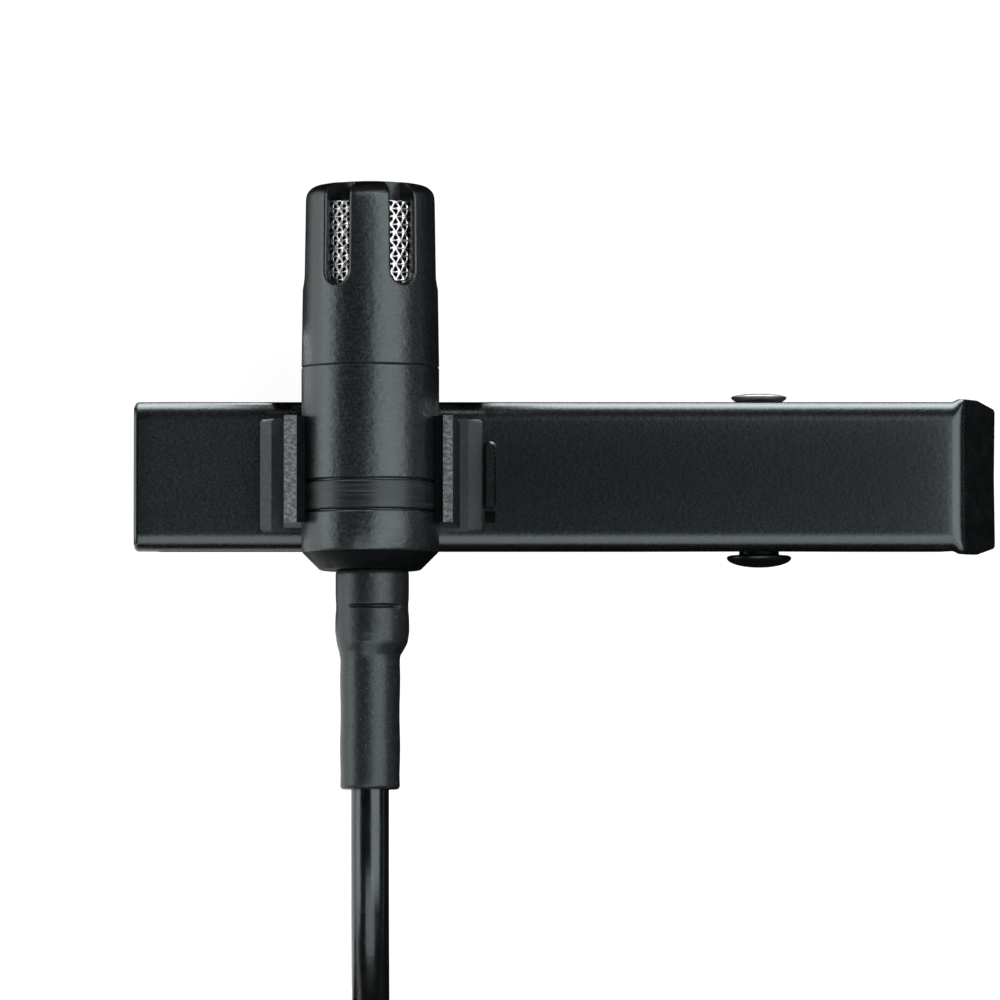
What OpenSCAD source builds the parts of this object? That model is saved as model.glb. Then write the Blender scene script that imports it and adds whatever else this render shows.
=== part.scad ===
// Lavalier microphone in a sprung clip, with its lead and 3.5 mm locking plug.
// The clip lies on its back at z = 0, the microphone faces up and its lead leaves along -Y.

/* [Microphone] */
// Diameter of the microphone body
mic_d = 8.0; // [6.6:0.1:9.6]
// Length of the metal body, from its rear chamfer to its front disc
mic_len = 22.5; // [20:0.1:27]
// Length of the slotted cap
cap_len = 10.7; // [10:0.1:12]
// Wall of the slotted cap
cap_wall = 0.65; // [0.5:0.01:0.8]
// Thickness of the closed front of the cap
cap_front_t = 1.1; // [0.9:0.05:1.3]
// Radius of the rounded shoulder of the cap
shoulder_r = 0.65; // [0.3:0.05:0.8]
// How much less the radius of the cap is at its shoulder than at its rear
cap_taper = 0.3; // [0:0.05:0.35]
// Diameter of the raised disc on the front
disc_d = 4.2; // [3.8:0.1:5]
// Height of the raised disc
disc_rise = 0.13; // [0.1:0.01:0.3]
// Number of sound slots
slot_count = 6; // [4:1:7]
// Clear width of a sound slot
slot_w = 1.5; // [1:0.05:1.8]
// Length of a sound slot
slot_len = 6.0; // [4:0.1:6.5]
// Chamfer along the edges of a sound slot
slot_edge = 0.25; // [0.1:0.05:0.35]
// Length of the barrel between the cap and the first groove
barrel_len = 6.6; // [5:0.1:8]
// Width of the ring between the two grooves
band_w = 1.64; // [1.2:0.02:2.2]
// Width of a groove
groove_w = 0.12; // [0.08:0.01:0.2]
// Depth of a groove
groove_depth = 0.22; // [0.1:0.01:0.3]
// Length of the chamfer at the rear
rear_chamfer = 1.1; // [0.6:0.1:1.4]
// Wall of the barrel and of the rear bush
barrel_wall = 0.7; // [0.6:0.05:0.75]

/* [Capsule] */
// Wall of the mesh tube behind the slots
mesh_t = 0.15; // [0.1:0.01:0.2]
// Length of the capsule can
can_len = 2.7; // [2.4:0.1:3.3]
// Wall of the capsule can
can_wall = 0.15; // [0.1:0.01:0.2]
// Radius of the sound hole in the can
sound_hole_r = 0.5; // [0.3:0.05:0.9]
// Thickness of the rubber seat
seat_wall = 0.22; // [0.15:0.01:0.3]
// Thickness of the round circuit board
board_t = 0.35; // [0.25:0.05:0.5]
// Thickness of the felt that lines the mesh
felt_t = 0.5; // [0.3:0.1:1]

/* [Cable and strain boot] */
// Diameter of the cable
cable_d = 2.2; // [1.8:0.05:2.3]
// Length of the strain boot behind the body
boot_len = 12.7; // [10:0.1:16]
// Diameter of the thick part of the boot
boot_d = 4.2; // [4:0.1:4.6]
// Diameter of the thin part of the boot
boot_neck_d = 3.46; // [3.2:0.02:3.7]
// Length of the tail of the bush inside the boot
tail_len = 3.4; // [2.5:0.1:3.6]

/* [Clip] */
// Length of the clip's front bar
bar_len = 50.5; // [42:0.1:61]
// Width of the front bar
bar_w = 8.75; // [7.2:0.05:10.6]
// Thickness of the clip's sheet metal
sheet_t = 0.5; // [0.4:0.01:0.6]
// Height of the closed clip
clip_h = 7.2; // [6.8:0.1:8.7]
// Distance from the jaw's tip to the microphone's axis
mic_from_tip = 13.9; // [11.5:0.1:16.5]
// Distance from the jaw's tip to the hinge pin
pin_from_tip = 36.65; // [31:0.05:40]
// Distance from the microphone's rear end to the middle of the bar
bar_from_rear = 5.8; // [5.4:0.1:6.4]
// Depth of the bar's side flanges
bar_flange = 1.5; // [1.2:0.1:1.8]
// Outer radius of the bar's long edges
bar_edge_r = 0.8; // [0.6:0.05:1]
// Length of the tab bent back at the bar's end
tab_len = 3.2; // [2.2:0.1:4]
// Angle of the bent tab
tab_angle = 55; // [40:1:65]
// How far the tab flares past each side of the bar
tab_flare = 0.16; // [0:0.01:0.3]
// Height of the lever's side flanges
lever_flange = 1.0; // [0.8:0.05:1.3]
// Gap on each side between the bar's ears and the lever's
lever_side_gap = 0.15; // [0.08:0.01:0.3]
// Depth of the toothed lip folded down at the bar's tip
lip_h = 2.0; // [1.6:0.1:2.4]
// Number of teeth in each jaw
tooth_count = 6; // [4:1:8]
// Height of the teeth
tooth_h = 0.7; // [0.4:0.1:0.9]
// Gap between the closed jaws
jaw_gap = 0.08; // [0.05:0.01:0.15]
// Length of the lever's tail short of the bar's end
tail_short = 0.85; // [0.5:0.05:2]

/* [Hinge] */
// Diameter of the hinge pin
pin_d = 2.1; // [1.75:0.05:2.5]
// Radial clearance of the pin in the lever
pin_fit = 0.05; // [0.03:0.01:0.1]
// Diameter of the pin's domed head
pin_head_d = 3.8; // [3.3:0.1:4.4]
// Diameter of the pin's flanged tail
pin_tail_d = 3.3; // [3:0.1:4]
// Diameter of the spring wire
wire_d = 0.6; // [0.5:0.02:0.7]
// Radial clearance of the spring's coils round the pin
spring_fit = 0.4; // [0.35:0.01:0.5]
// Pitch of the spring's coils
spring_pitch = 1.05; // [1:0.01:1.1]

/* [Holder] */
// Width of the holder's base plate
holder_w = 13.0; // [12:0.1:15.6]
// Length of the holder along the microphone
holder_len = 6.6; // [5.5:0.1:7]
// Thickness of the base plate
plate_t = 0.75; // [0.6:0.05:0.85]
// Thickness of plastic under the microphone
cradle_floor = 0.9; // [0.85:0.01:1.2]
// Radial clearance between the microphone and the holder
mic_fit = 0.03; // [0.02:0.01:0.06]
// Wall of the arms at the widest plane of the microphone
arm_wall = 0.95; // [0.8:0.01:1.1]
// Angle by which the arms wrap past the widest plane
wrap_angle = 22; // [15:1:26]
// Diameter of the rivet's shank
rivet_d = 1.8; // [1.5:0.1:2.1]

/* [Plug] */
// Diameter of the plug's contacts
plug_d = 3.5; // [2.92:0.02:4.2]
// Length of the contacts in front of their shoulder
plug_len = 14.0; // [12:0.1:14.5]
// Diameter of the plug's barrel
barrel_d = 7.0; // [6.6:0.1:8.4]
// Length of the plug's barrel
grip_len = 10.6; // [9:0.1:12]
// Length of the plug's strain boot outside the barrel
plug_boot_len = 8.4; // [7:0.1:9]
// Length of the knurled part of the locking collar
collar_len = 4.5; // [4:0.1:5.5]
// Wall of the collar's threaded end, out to the crest of its thread
thread_wall = 0.45; // [0.4:0.05:0.6]
// Length of the locking thread
thread_len = 3.4; // [3:0.1:4]
// Number of grooves in the knurl
knurl_count = 24; // [16:1:28]

/* [Lead] */
// Outer radius of the coil, at the middle of its last turn
coil_r = 17.2; // [17.2:0.1:18]
// Turns in each layer of the coil
layer_turns = 3.5; // [2.5,3.5]
// Gap between neighbouring turns
turn_gap = 0.45; // [0.42:0.01:0.5]
// Thickness of the strap that ties the coil
tie_t = 0.4; // [0.3:0.05:0.5]
// Width of the strap
tie_w = 5; // [3:0.5:6]

/* [Hidden] */

smooth = 64;        // sides of a drawn circle
cut = 1;            // how far a cutter stands past what it cuts
lap = 0.05;         // how far two halves of one solid run into each other
seat_gap = 0.03;    // between two pieces of one body that slide together
bond_gap = 0.02;    // between two pieces that are pressed or bonded together
fold_inset = 0.01;  // how far a bent part stays inside the sheet that it grows from

// Microphone: radii, and places along its axis from the rear end
mic_r = mic_d / 2;
cable_r = cable_d / 2;
cap_s = mic_len - cap_len;
cap_bore_r = mic_r - cap_wall;
cap_ceiling_s = mic_len - cap_front_t;
spigot_r = cap_bore_r - seat_gap;
spigot_len = 1.5;
barrel_s = cap_s - barrel_len;
barrel_bore_r = spigot_r - barrel_wall;
band_s = barrel_s - groove_w - band_w;
bush_s = band_s - groove_w;
rear_spigot_len = 1.3;
bush_wall_s = bush_s - rear_spigot_len;
groove_r = mic_r - groove_depth;
tail_r = 1.6;
tail_bore_r = cable_r + 0.05;
barb_len = 0.5;
barb_h = 0.12;
barb_s = 0.3 - tail_len;

// Capsule, stacked forwards from the front spigot
mesh_r = cap_bore_r - seat_gap;
mesh_s = cap_s + spigot_len + seat_gap;
seat_r = mesh_r - mesh_t - seat_gap;
can_r = seat_r - seat_wall;
can_s = mesh_s + seat_wall;
can_bore_r = can_r - can_wall;
part_r = can_bore_r - seat_gap;
ring_wall = 0.4;
film_t = 0.05;
diaphragm_t = 0.3;
spacer_t = 0.08;
backplate_t = 0.3;
stack_gap = 0.01;
plate_r = part_r - ring_wall - 0.05;
diaphragm_s = can_s + can_len - can_wall - stack_gap - diaphragm_t;
spacer_s = diaphragm_s - stack_gap - spacer_t;
backplate_s = spacer_s - stack_gap - backplate_t;
board_s = can_s + bond_gap;
gate_s = board_s + board_t + stack_gap;
core_r = 0.3;
core_offset = 0.5;
jacket_end_s = barrel_s - 1;

// Frame: the clip's back is z = 0, and the box of clip and microphone is centred on X and Y
mic_front_y = (mic_len + boot_len) / 2;
mic_rear_y = mic_front_y - mic_len;
bar_y = mic_rear_y + bar_from_rear;
tip_x = -bar_len / 2;
mic_x = tip_x + mic_from_tip;
bore_r = mic_r + mic_fit;
axis_h = cradle_floor + bore_r;
mic_z = clip_h + axis_h;

// Clip
pin_x = tip_x + pin_from_tip;
pin_z = clip_h / 2 - 0.3;
pin_at = [pin_x, pin_z];
bend_r = sheet_t * 2;
tab_end = (bend_r - 2 * fold_inset) * sin(tab_angle) + tab_len * cos(tab_angle);
fold_x = bar_len / 2 - tab_end;
ear_r = pin_d / 2 + 0.95;
ear_run = 5.3;
lever_w = bar_w - 2 * (sheet_t + lever_side_gap);
lever_ear_r = ear_r - 0.1;
lever_tail_x = bar_len / 2 - tail_short;
jaw_x = tip_x;
jaw_pitch = lever_w / tooth_count;
pin_r = pin_d / 2;
pin_seat = 0.12;
spring_r = pin_r + wire_d / 2 + spring_fit;
leg_gap = 0.08;     // between the spring's legs and the sheet that they press on
flange_z = clip_h - bar_flange;
tip_corner_r = 0.3;

// Holder
lip = bore_r * [cos(wrap_angle), sin(wrap_angle)];
lead_in = 0.5;
lead_in_h = 0.75;
arm_top = axis_h + lip[1] + lead_in_h;
arm_x = bore_r + arm_wall;
arm_waist_h = plate_t + 1.3;
arm_foot = 0.55;
rivet_head_r = rivet_d / 2 + 0.6;
rivet_seat = 0.4;
rivet_head_t = 0.32;
rivet_tail_t = 0.35;
lug_gap = 0.1;

// Plug, along its axis from the end of its boot
grip_u = plug_boot_len;
grip_end_u = grip_u + grip_len;
collar_u = grip_end_u + 0.15;
collar_end_u = collar_u + collar_len;
shoulder_u = collar_end_u + 0.9;
plug_end_u = shoulder_u + plug_len;
plug_r = plug_d / 2;
barrel_r = barrel_d / 2;
barrel_t = 0.45;
shank_r = plug_r + 0.35;
clip_t = 0.4;
clip_r = shank_r + 0.3;
clip_u = collar_end_u - 0.3;
thread_bore_r = clip_r + 0.15;
thread_r = thread_bore_r + thread_wall;
collar_web_end_u = clip_u - 0.15;
collar_fit = 0.05;
tip_len = 3.8;
band_len = 1.8;
washer_t = 0.4;
tip_u = plug_end_u - tip_len;
band_u = tip_u - washer_t - band_len;
sleeve_end_u = band_u - washer_t;
rod_r = 0.45;
tube_r = 1.0;
tube_t = 0.25;
liner_t = 0.2;
boot_root_r = 2.45;
boot_flange_r = barrel_r - barrel_t - seat_gap;
boot_flange_u = [grip_u + 0.6, grip_u + 1.4];
plug_flange_u = grip_end_u - 3;
tube_end_u = grip_end_u - 4;
rod_end_u = grip_end_u - 5;
clip_groove_r = shank_r - 0.15;

// Coil of the lead: layers spiral in and out, one turn_pitch apart
layers = 4;
turn_pitch = cable_d + turn_gap;
turns = layers * layer_turns;
coil_z = tie_t + 0.2 + cable_r;
coil_y = -51;
coil_x = mic_x + coil_r;
coil_inner_r = coil_r - layer_turns * turn_pitch;
coil_top_z = coil_z + (layers - 1) * turn_pitch;

// Route of the lead from the boot to the coil: dy from the boot's end, height above the table
run_route = [
    [0, mic_z], [-2.5, mic_z], [-5, 11.9], [-7.5, 11.2], [-10, 10], [-12.5, 8.3], [-15, 6.5], [-17.5, 4.7],
    [-20, 3.2], [-22.5, 2.1], [-24.5, 1.5], [-26.5, 1.5]
];
// Route from the coil to the plug: dx, dy from where it leaves the coil, height above the table
lead_route = [
    [0, -3, coil_top_z], [0, -6, 9.6], [0, -9, 9.2], [0, -12, 8.3], [0, -15, 7], [0, -18, 5.4],
    [0, -21, 3.8], [0, -24, 2.4], [0, -26.5, 1.6], [-0.65, -29.8, 1.2], [-2.5, -32.5, 1.1],
    [-5.3, -34.4, 1.1], [-8.6, -35.1, 1.1], [-11.9, -34.4, 1.1], [-14.7, -32.5, 1.1], [-16.5, -29.8, 1.4],
    [-17.15, -26.5, 2.1], [-17.15, -24.3, 2.9]
];
plug_from_coil = [-17.15, -20.5];
run_start_y = mic_rear_y - boot_len;
coil_start_y = coil_y + cable_d;
coil_end_y = coil_y - cable_d;
plug_x = mic_x + plug_from_coil[0];
plug_y = coil_y + plug_from_coil[1];
plug_z = barrel_r;

run_points = concat(
    [for (p = run_route) [mic_x, run_start_y + p[0], p[1]]],
    [[mic_x, coil_start_y, coil_z]]
);
lead_points = concat(
    [[mic_x, coil_end_y, coil_top_z]],
    [for (p = lead_route) [mic_x + p[0], coil_y + p[1], p[2]]],
    [[plug_x, plug_y - cable_d, plug_z], [plug_x, plug_y, plug_z]]
);

// ---- shared geometry ----

// The point where a line from p touches the circle of radius r round c, on side s
function touch(p, c, r, s) =
    let (d = p - c, a = atan2(d[1], d[0]), b = acos(r / norm(d)))
    c + r * [cos(a + s * b), sin(a + s * b)];

function unit(v) = v / norm(v);

// Direction of a line of points at point i; ends keep the direction given
function heading(p, i, ends) =
    i == 0 ? ends[0] : i == len(p) - 1 ? ends[1] : unit(unit(p[i + 1] - p[i]) + unit(p[i] - p[i - 1]));

// A ring of points round c, square to the direction t
function ring(c, t, up, r, sides) =
    let (u = unit(cross(t, up)), v = cross(u, t))
    [for (k = [0:sides - 1]) c + r * (cos(k * 360 / sides) * u + sin(k * 360 / sides) * v)];

// One closed tube along the points p
module tube(p, ends, up, r, sides) {
    n = len(p);
    pts = [for (i = [0:n - 1]) each ring(p[i], heading(p, i, ends), up, r, sides)];
    walls = [for (i = [0:n - 2], k = [0:sides - 1])
        let (a = i * sides + k, b = i * sides + (k + 1) % sides)
        each [[a, a + sides, b], [b, a + sides, b + sides]]];
    first = [for (k = [1:sides - 2]) [0, k, k + 1]];
    last = [for (k = [1:sides - 2]) [(n - 1) * sides, (n - 1) * sides + k + 1, (n - 1) * sides + k]];
    polyhedron(pts, concat(walls, first, last));
}

// Least distance between the points of a line that are at least skip points apart
function least_gap(p, skip) =
    min([for (i = [0:len(p) - 1 - skip]) min([for (j = [i + skip:len(p) - 1]) norm(p[i] - p[j])])]);

// Places children with their +Z along the microphone, s from its rear end
module on_mic_axis(s = 0) {
    translate([mic_x, mic_rear_y + s, mic_z]) rotate([-90, 0, 0]) children();
}

// Places children with their +Z along the plug, u from the end of its boot
module on_plug_axis(u = 0) {
    translate([plug_x, plug_y + u, plug_z]) rotate([-90, 0, 0]) children();
}

// A round tube from z0 to z1
module pipe(r_out, r_in, z0, z1) {
    difference() {
        translate([0, 0, z0]) cylinder(r = r_out, h = z1 - z0, $fn = smooth);
        translate([0, 0, z0 - cut]) cylinder(r = r_in, h = z1 - z0 + 2 * cut, $fn = smooth);
    }
}

// A round bar from z0 to z1
module rod(r, z0, z1) {
    translate([0, 0, z0]) cylinder(r = r, h = z1 - z0, $fn = smooth);
}

// Flat shape, w wide and h deep below y = 0, with its two upper corners rounded
module arch(w, h, r) {
    translate([-w / 2, -h]) square([w, h - r]);
    translate([-w / 2 + r, -h]) square([w - 2 * r, h]);
    for (s = [-1, 1]) {
        translate([s * (w / 2 - r), -r]) circle(r, $fn = smooth);
    }
}

// Flat rectangle with four rounded corners, centred
module rounded_plate(w, h, r) {
    square([w - 2 * r, h], center = true);
    square([w, h - 2 * r], center = true);
    for (x = [-1, 1], y = [-1, 1]) {
        translate([x * (w / 2 - r), y * (h / 2 - r)]) circle(r, $fn = smooth);
    }
}

// Folded sheet section, open downwards
module channel_section(w, depth, r) {
    difference() {
        arch(w, depth, r);
        translate([0, -sheet_t]) arch(w - 2 * sheet_t, depth, r - sheet_t);
    }
}

// Extrudes a flat shape drawn across X, from x0 to x1
module along_x(x0, x1) {
    translate([x0, 0, 0]) rotate([90, 0, 90]) linear_extrude(x1 - x0) children();
}

// Extrudes a flat shape drawn in X and Z, w wide and centred on y
module along_y(y, w) {
    translate([0, y + w / 2, 0]) rotate([90, 0, 0]) linear_extrude(w) children();
}

// A round bar across the clip on the pin's axis
module across(x, z, r, y0, y1) {
    translate([x, y1, z]) rotate([90, 0, 0]) cylinder(r = r, h = y1 - y0, $fn = smooth);
}

// ---- microphone ----

// Half of the cap's outline: a slight taper, a flare at the slots' ends, and the shoulder
function cap_outline() =
    let (
        shell_h = cap_len - disc_rise, shoulder_h = shell_h - shoulder_r, top_r = mic_r - cap_taper,
        flare_h = cap_len - slot_len, flare = cap_taper / 2, flare_half = 0.7, lean = cap_taper / 5
    )
    concat(
        [[0, 0], [mic_r, 0]],
        [for (a = [0:30:180]) [
            mic_r - lean - flare * (1 - cos(a)) / 2,
            flare_h + flare_half * (a / 90 - 1)
        ]],
        [for (a = [0:10:90]) [top_r + shoulder_r * (cos(a) - 1), shoulder_h + shoulder_r * sin(a)]],
        [[0, shell_h]]
    );

// One sound slot, cut in to the edge of the front disc, with a chamfer along its edges
module cap_slot() {
    edge_x = sqrt(pow(mic_r - cap_taper * 0.8, 2) - pow(slot_w / 2, 2)) - slot_edge;
    bottom = cap_len - slot_len + slot_w / 2;
    floor_r = disc_d / 2;
    translate([floor_r, -slot_w / 2, bottom]) cube([mic_r, slot_w, cap_len]);
    translate([floor_r, 0, bottom]) rotate([0, 90, 0]) cylinder(d = slot_w, h = mic_r, $fn = smooth);
    translate([0, 0, bottom]) linear_extrude(cap_len) polygon([
        [edge_x, -slot_w / 2], [edge_x + cut, -slot_w / 2 - cut],
        [edge_x + cut, slot_w / 2 + cut], [edge_x, slot_w / 2]
    ]);
    translate([edge_x, 0, bottom]) rotate([0, 90, 0])
        cylinder(r1 = slot_w / 2, r2 = slot_w / 2 + cut, h = cut, $fn = smooth);
}

module head_cap() {
    color("#1b1b1d") on_mic_axis(cap_s) difference() {
        union() {
            rotate_extrude($fn = smooth) polygon(cap_outline());
            rod(disc_d / 2, cap_len - cut, cap_len);
        }
        rod(cap_bore_r, -cut, cap_len - cap_front_t);
        for (i = [0:slot_count - 1]) {
            rotate(i * 360 / slot_count) cap_slot();
        }
    }
}

module mesh_screen() {
    front_s = cap_ceiling_s - seat_gap;
    color("#c9c9cc") on_mic_axis() {
        pipe(mesh_r, mesh_r - mesh_t, mesh_s, front_s);
        rod(mesh_r - mesh_t + lap, front_s - mesh_t, front_s);
    }
}

module acoustic_felt() {
    start_s = can_s + can_len + seat_gap;
    color("#39393b") on_mic_axis() difference() {
        rod(seat_r, start_s, cap_ceiling_s - 2 * seat_gap - mesh_t);
        rod(seat_r - felt_t, start_s + felt_t, mic_len);
    }
}

module capsule_seat() {
    can_proud = 0.3;
    ledge = can_wall + 0.2;
    color("#2a2a2a") on_mic_axis() difference() {
        rod(seat_r, mesh_s, can_s + can_len - can_proud);
        rod(can_r, can_s, can_s + can_len + cut);
        rod(can_r - ledge, mesh_s - cut, can_s + cut);
    }
}

module capsule_can() {
    color("#b9b9bd") on_mic_axis() difference() {
        rod(can_r, can_s, can_s + can_len);
        rod(can_bore_r, can_s - cut, can_s + can_len - can_wall);
        rod(sound_hole_r, can_s, can_s + can_len + cut);
    }
}

module diaphragm() {
    color("#d8c070") on_mic_axis(diaphragm_s) {
        pipe(part_r, part_r - ring_wall, 0, diaphragm_t);
        rod(part_r - ring_wall + lap, 0, film_t);
    }
}

module spacer_ring() {
    color("#a06a30") on_mic_axis(spacer_s) pipe(part_r, part_r - ring_wall, 0, spacer_t);
}

module backplate() {
    hole_r = 0.22;
    hole_at = plate_r * 0.55;
    color("#c8a84a") on_mic_axis(backplate_s) difference() {
        rod(plate_r, 0, backplate_t);
        for (a = [45:90:315]) {
            rotate(a) translate([hole_at, 0, 0]) rod(hole_r, -cut, backplate_t + cut);
        }
    }
}

module plate_carrier() {
    color("#e8e4da") on_mic_axis() pipe(part_r, part_r - ring_wall, gate_s, spacer_s - stack_gap);
}

module gate_ring() {
    gate_wall = 0.2;
    color("#c8a84a") on_mic_axis() pipe(plate_r, plate_r - gate_wall, gate_s, backplate_s - stack_gap);
}

module fet_board() {
    chip = [1.3, 1.0, 0.55];
    color("#2f6b3a") on_mic_axis(board_s) {
        rod(part_r, 0, board_t);
        translate([-chip[0] / 2, -chip[1] / 2, board_t - lap]) cube([chip[0], chip[1], chip[2] + lap]);
    }
}

module board_leads() {
    color("#b03030") on_mic_axis() {
        for (s = [-1, 1]) {
            translate([s * core_offset, 0, 0]) rod(core_r, jacket_end_s, board_s);
        }
    }
}

module body_barrel() {
    color("#161618") on_mic_axis() difference() {
        union() {
            rod(mic_r, barrel_s, cap_s);
            rod(spigot_r, cap_s - cut, cap_s + spigot_len);
            rod(groove_r, barrel_s - groove_w, cap_s - cut);
            rod(spigot_r, bush_wall_s, cap_s - cut);
        }
        rod(barrel_bore_r, bush_wall_s - cut, cap_s + spigot_len + cut);
    }
}

module band_ring() {
    color("#1d1d20") on_mic_axis() pipe(mic_r, spigot_r + seat_gap, band_s, band_s + band_w);
}

module end_bush() {
    color("#141416") on_mic_axis() difference() {
        union() {
            cylinder(r1 = mic_r - rear_chamfer, r2 = mic_r, h = rear_chamfer, $fn = smooth);
            rod(mic_r, rear_chamfer, bush_s);
            rod(groove_r, rear_chamfer, band_s);
            rod(tail_r, -tail_len, rear_chamfer);
            translate([0, 0, barb_s])
                cylinder(r1 = tail_r, r2 = tail_r + barb_h, h = barb_len, $fn = smooth);
        }
        rod(spigot_r + seat_gap, bush_wall_s, band_s + cut);
        rod(tail_bore_r, -tail_len - cut, mic_len);
    }
}

module crimp_ferrule() {
    flange_gap = 0.1;
    flange_t = 0.45;
    wall = 0.4;
    bare_len = 0.3;
    bore = cable_r + bond_gap;
    color("#b08d3c") on_mic_axis(bush_wall_s) {
        pipe(barrel_bore_r - flange_gap, bore, 0, flange_t);
        pipe(cable_r + wall, bore, flange_t - lap, jacket_end_s - bush_wall_s - bare_len);
    }
}

module cable_tail() {
    color("#101010") on_mic_axis() rod(cable_r, -boot_len, jacket_end_s);
}

// Half of the boot's outline, from the body to its far end
function boot_outline() =
    let (thick = boot_d / 2, neck = boot_neck_d / 2, crease = 2.15, neck_s = 5.25, step_s = 4.1)
    concat(
        [[thick - 0.08, 0], [thick, -0.12], [thick, -crease + 0.16], [thick - 0.12, -crease]],
        [for (a = [0:30:180]) [
            thick - 0.02 + 0.06 * sin(a),
            -crease - 0.16 - (step_s - crease - 0.3) * a / 180
        ]],
        [for (a = [0:22.5:180]) [
            neck + (thick - 0.04 - neck) * (1 + cos(a)) / 2,
            -step_s - (neck_s - step_s) * a / 180
        ]],
        [[neck, -boot_len + 0.1], [neck - 0.1, -boot_len]]
    );

module strain_boot() {
    tail_end_gap = 0.1;
    barb_r = tail_r + barb_h + bond_gap;
    color("#2b2b2d") on_mic_axis() difference() {
        rotate_extrude($fn = smooth) polygon(concat(boot_outline(), [[0, -boot_len], [0, 0]]));
        rod(tail_r + bond_gap, -tail_len - tail_end_gap, cut);
        rod(barb_r, barb_s - bond_gap, barb_s + barb_len + bond_gap);
        rod(cable_r + bond_gap, -boot_len - cut, cut);
    }
}

// ---- clip ----

// Side view of the front bar without its bent end, in X and Z
module bar_side() {
    left = [pin_x - ear_r - ear_run, flange_z];
    right = [pin_x + ear_r + ear_run * 0.7, flange_z];
    polygon([
        [tip_x, clip_h], [fold_x + lap, clip_h], [fold_x + lap, flange_z + 0.7], [fold_x - 0.7, flange_z],
        right, touch(right, pin_at, ear_r, -1), touch(left, pin_at, ear_r, 1), left, [tip_x, flange_z]
    ]);
    translate(pin_at) circle(ear_r, $fn = smooth);
}

// Outline of the tab at the bar's end: across, along
module tab_outline() {
    half = bar_w / 2;
    wide = half + tab_flare;
    flare_end = 0.35;
    corner = [0.42, 1.7];
    dish_r = 60;
    dish_depth = 0.1;
    difference() {
        polygon([
            [-half, -lap], [half, -lap], [wide, flare_end], [wide, tab_len - corner[1]],
            [wide - corner[0], tab_len], [corner[0] - wide, tab_len], [-wide, tab_len - corner[1]],
            [-wide, flare_end]
        ]);
        translate([0, tab_len + dish_r - dish_depth]) circle(dish_r, $fn = 4 * smooth);
    }
}

// The edge that both jaws are cut along: across, height
function tooth_edge(z) =
    [for (i = [0:2 * tooth_count]) [jaw_pitch * i / 2 - lever_w / 2, z + (i % 2 == 0 ? -tooth_h : 0)]];

// The toothed lip folded down at the bar's tip
module bar_lip() {
    half = bar_w / 2 - tip_corner_r - lap;
    top = clip_h - sheet_t / 2;
    root = clip_h - lip_h;
    along_x(tip_x, tip_x + sheet_t) translate([bar_y, 0]) polygon(concat(
        [[-half, top], [-half, root - tooth_h]], tooth_edge(root), [[half, root - tooth_h], [half, top]]
    ));
}

// The tab at the bar's end, bent back
module bar_tab() {
    inner_r = bend_r - sheet_t + fold_inset;
    bend_t = sheet_t - 2 * fold_inset;
    tab_t = bend_t - 2 * fold_inset;
    translate([fold_x, bar_y, clip_h - bend_r]) {
        intersection() {
            translate([0, bar_w / 2, 0]) rotate([90, 0, 0]) rotate([0, 0, 90 - tab_angle])
                rotate_extrude(angle = tab_angle, $fn = smooth)
                translate([inner_r, 0]) square([bend_t, bar_w]);
            along_x(-cut, bend_r) translate([0, bend_r - fold_inset])
                arch(bar_w - 2 * fold_inset, bend_r, bar_edge_r - fold_inset);
        }
        rotate([0, tab_angle, 0]) translate([0, 0, inner_r + fold_inset])
            rotate([0, 0, -90]) linear_extrude(tab_t) tab_outline();
    }
}

module front_bar() {
    lug = [0.7, 4.0, 0.45];
    lug_corner_r = 0.3;
    lug_x = mic_x + holder_w / 2 + lug_gap;
    slot_from_lug = 0.05;
    color("#0e0e10") difference() {
        union() {
            intersection() {
                along_x(tip_x, fold_x + lap) translate([bar_y, clip_h])
                    channel_section(bar_w, clip_h, bar_edge_r);
                along_y(bar_y, bar_w) bar_side();
                translate([tip_x + bar_len, bar_y, 0]) linear_extrude(clip_h)
                    rounded_plate(2 * bar_len, bar_w, tip_corner_r);
            }
            bar_tab();
            bar_lip();
            translate([lug_x + lug[0] / 2, bar_y, clip_h - lap]) linear_extrude(lug[2] + lap)
                rounded_plate(lug[0], lug[1], lug_corner_r);
        }
        across(pin_x, pin_z, pin_r + bond_gap, bar_y - bar_w, bar_y + bar_w);
        translate([mic_x, bar_y, 0]) rod(rivet_d / 2 + bond_gap, 0, clip_h + cut);
        translate([lug_x + slot_from_lug, bar_y - lug[1] / 2 - slot_from_lug - lug[0], 0])
            cube([lug[0] - 2 * slot_from_lug, lug[0], clip_h + cut]);
    }
}

// Cross-section of the holder, in X and Z from the bar's face
module holder_section() {
    draft = 0.1;
    foot_x = arm_x + arm_foot;
    difference() {
        polygon([
            [-foot_x, 0], [foot_x, 0], [foot_x, plate_t], [arm_x + draft, arm_waist_h],
            [arm_x, arm_top], [-arm_x, arm_top], [-arm_x - draft, arm_waist_h], [-foot_x, plate_t]
        ]);
        translate([0, axis_h]) circle(bore_r, $fn = smooth);
        polygon([
            [-lip[0], axis_h + lip[1]], [-lip[0] - lead_in, arm_top], [-lip[0] - lead_in, arm_top + cut],
            [lip[0] + lead_in, arm_top + cut], [lip[0] + lead_in, arm_top], [lip[0], axis_h + lip[1]]
        ]);
    }
}

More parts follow.
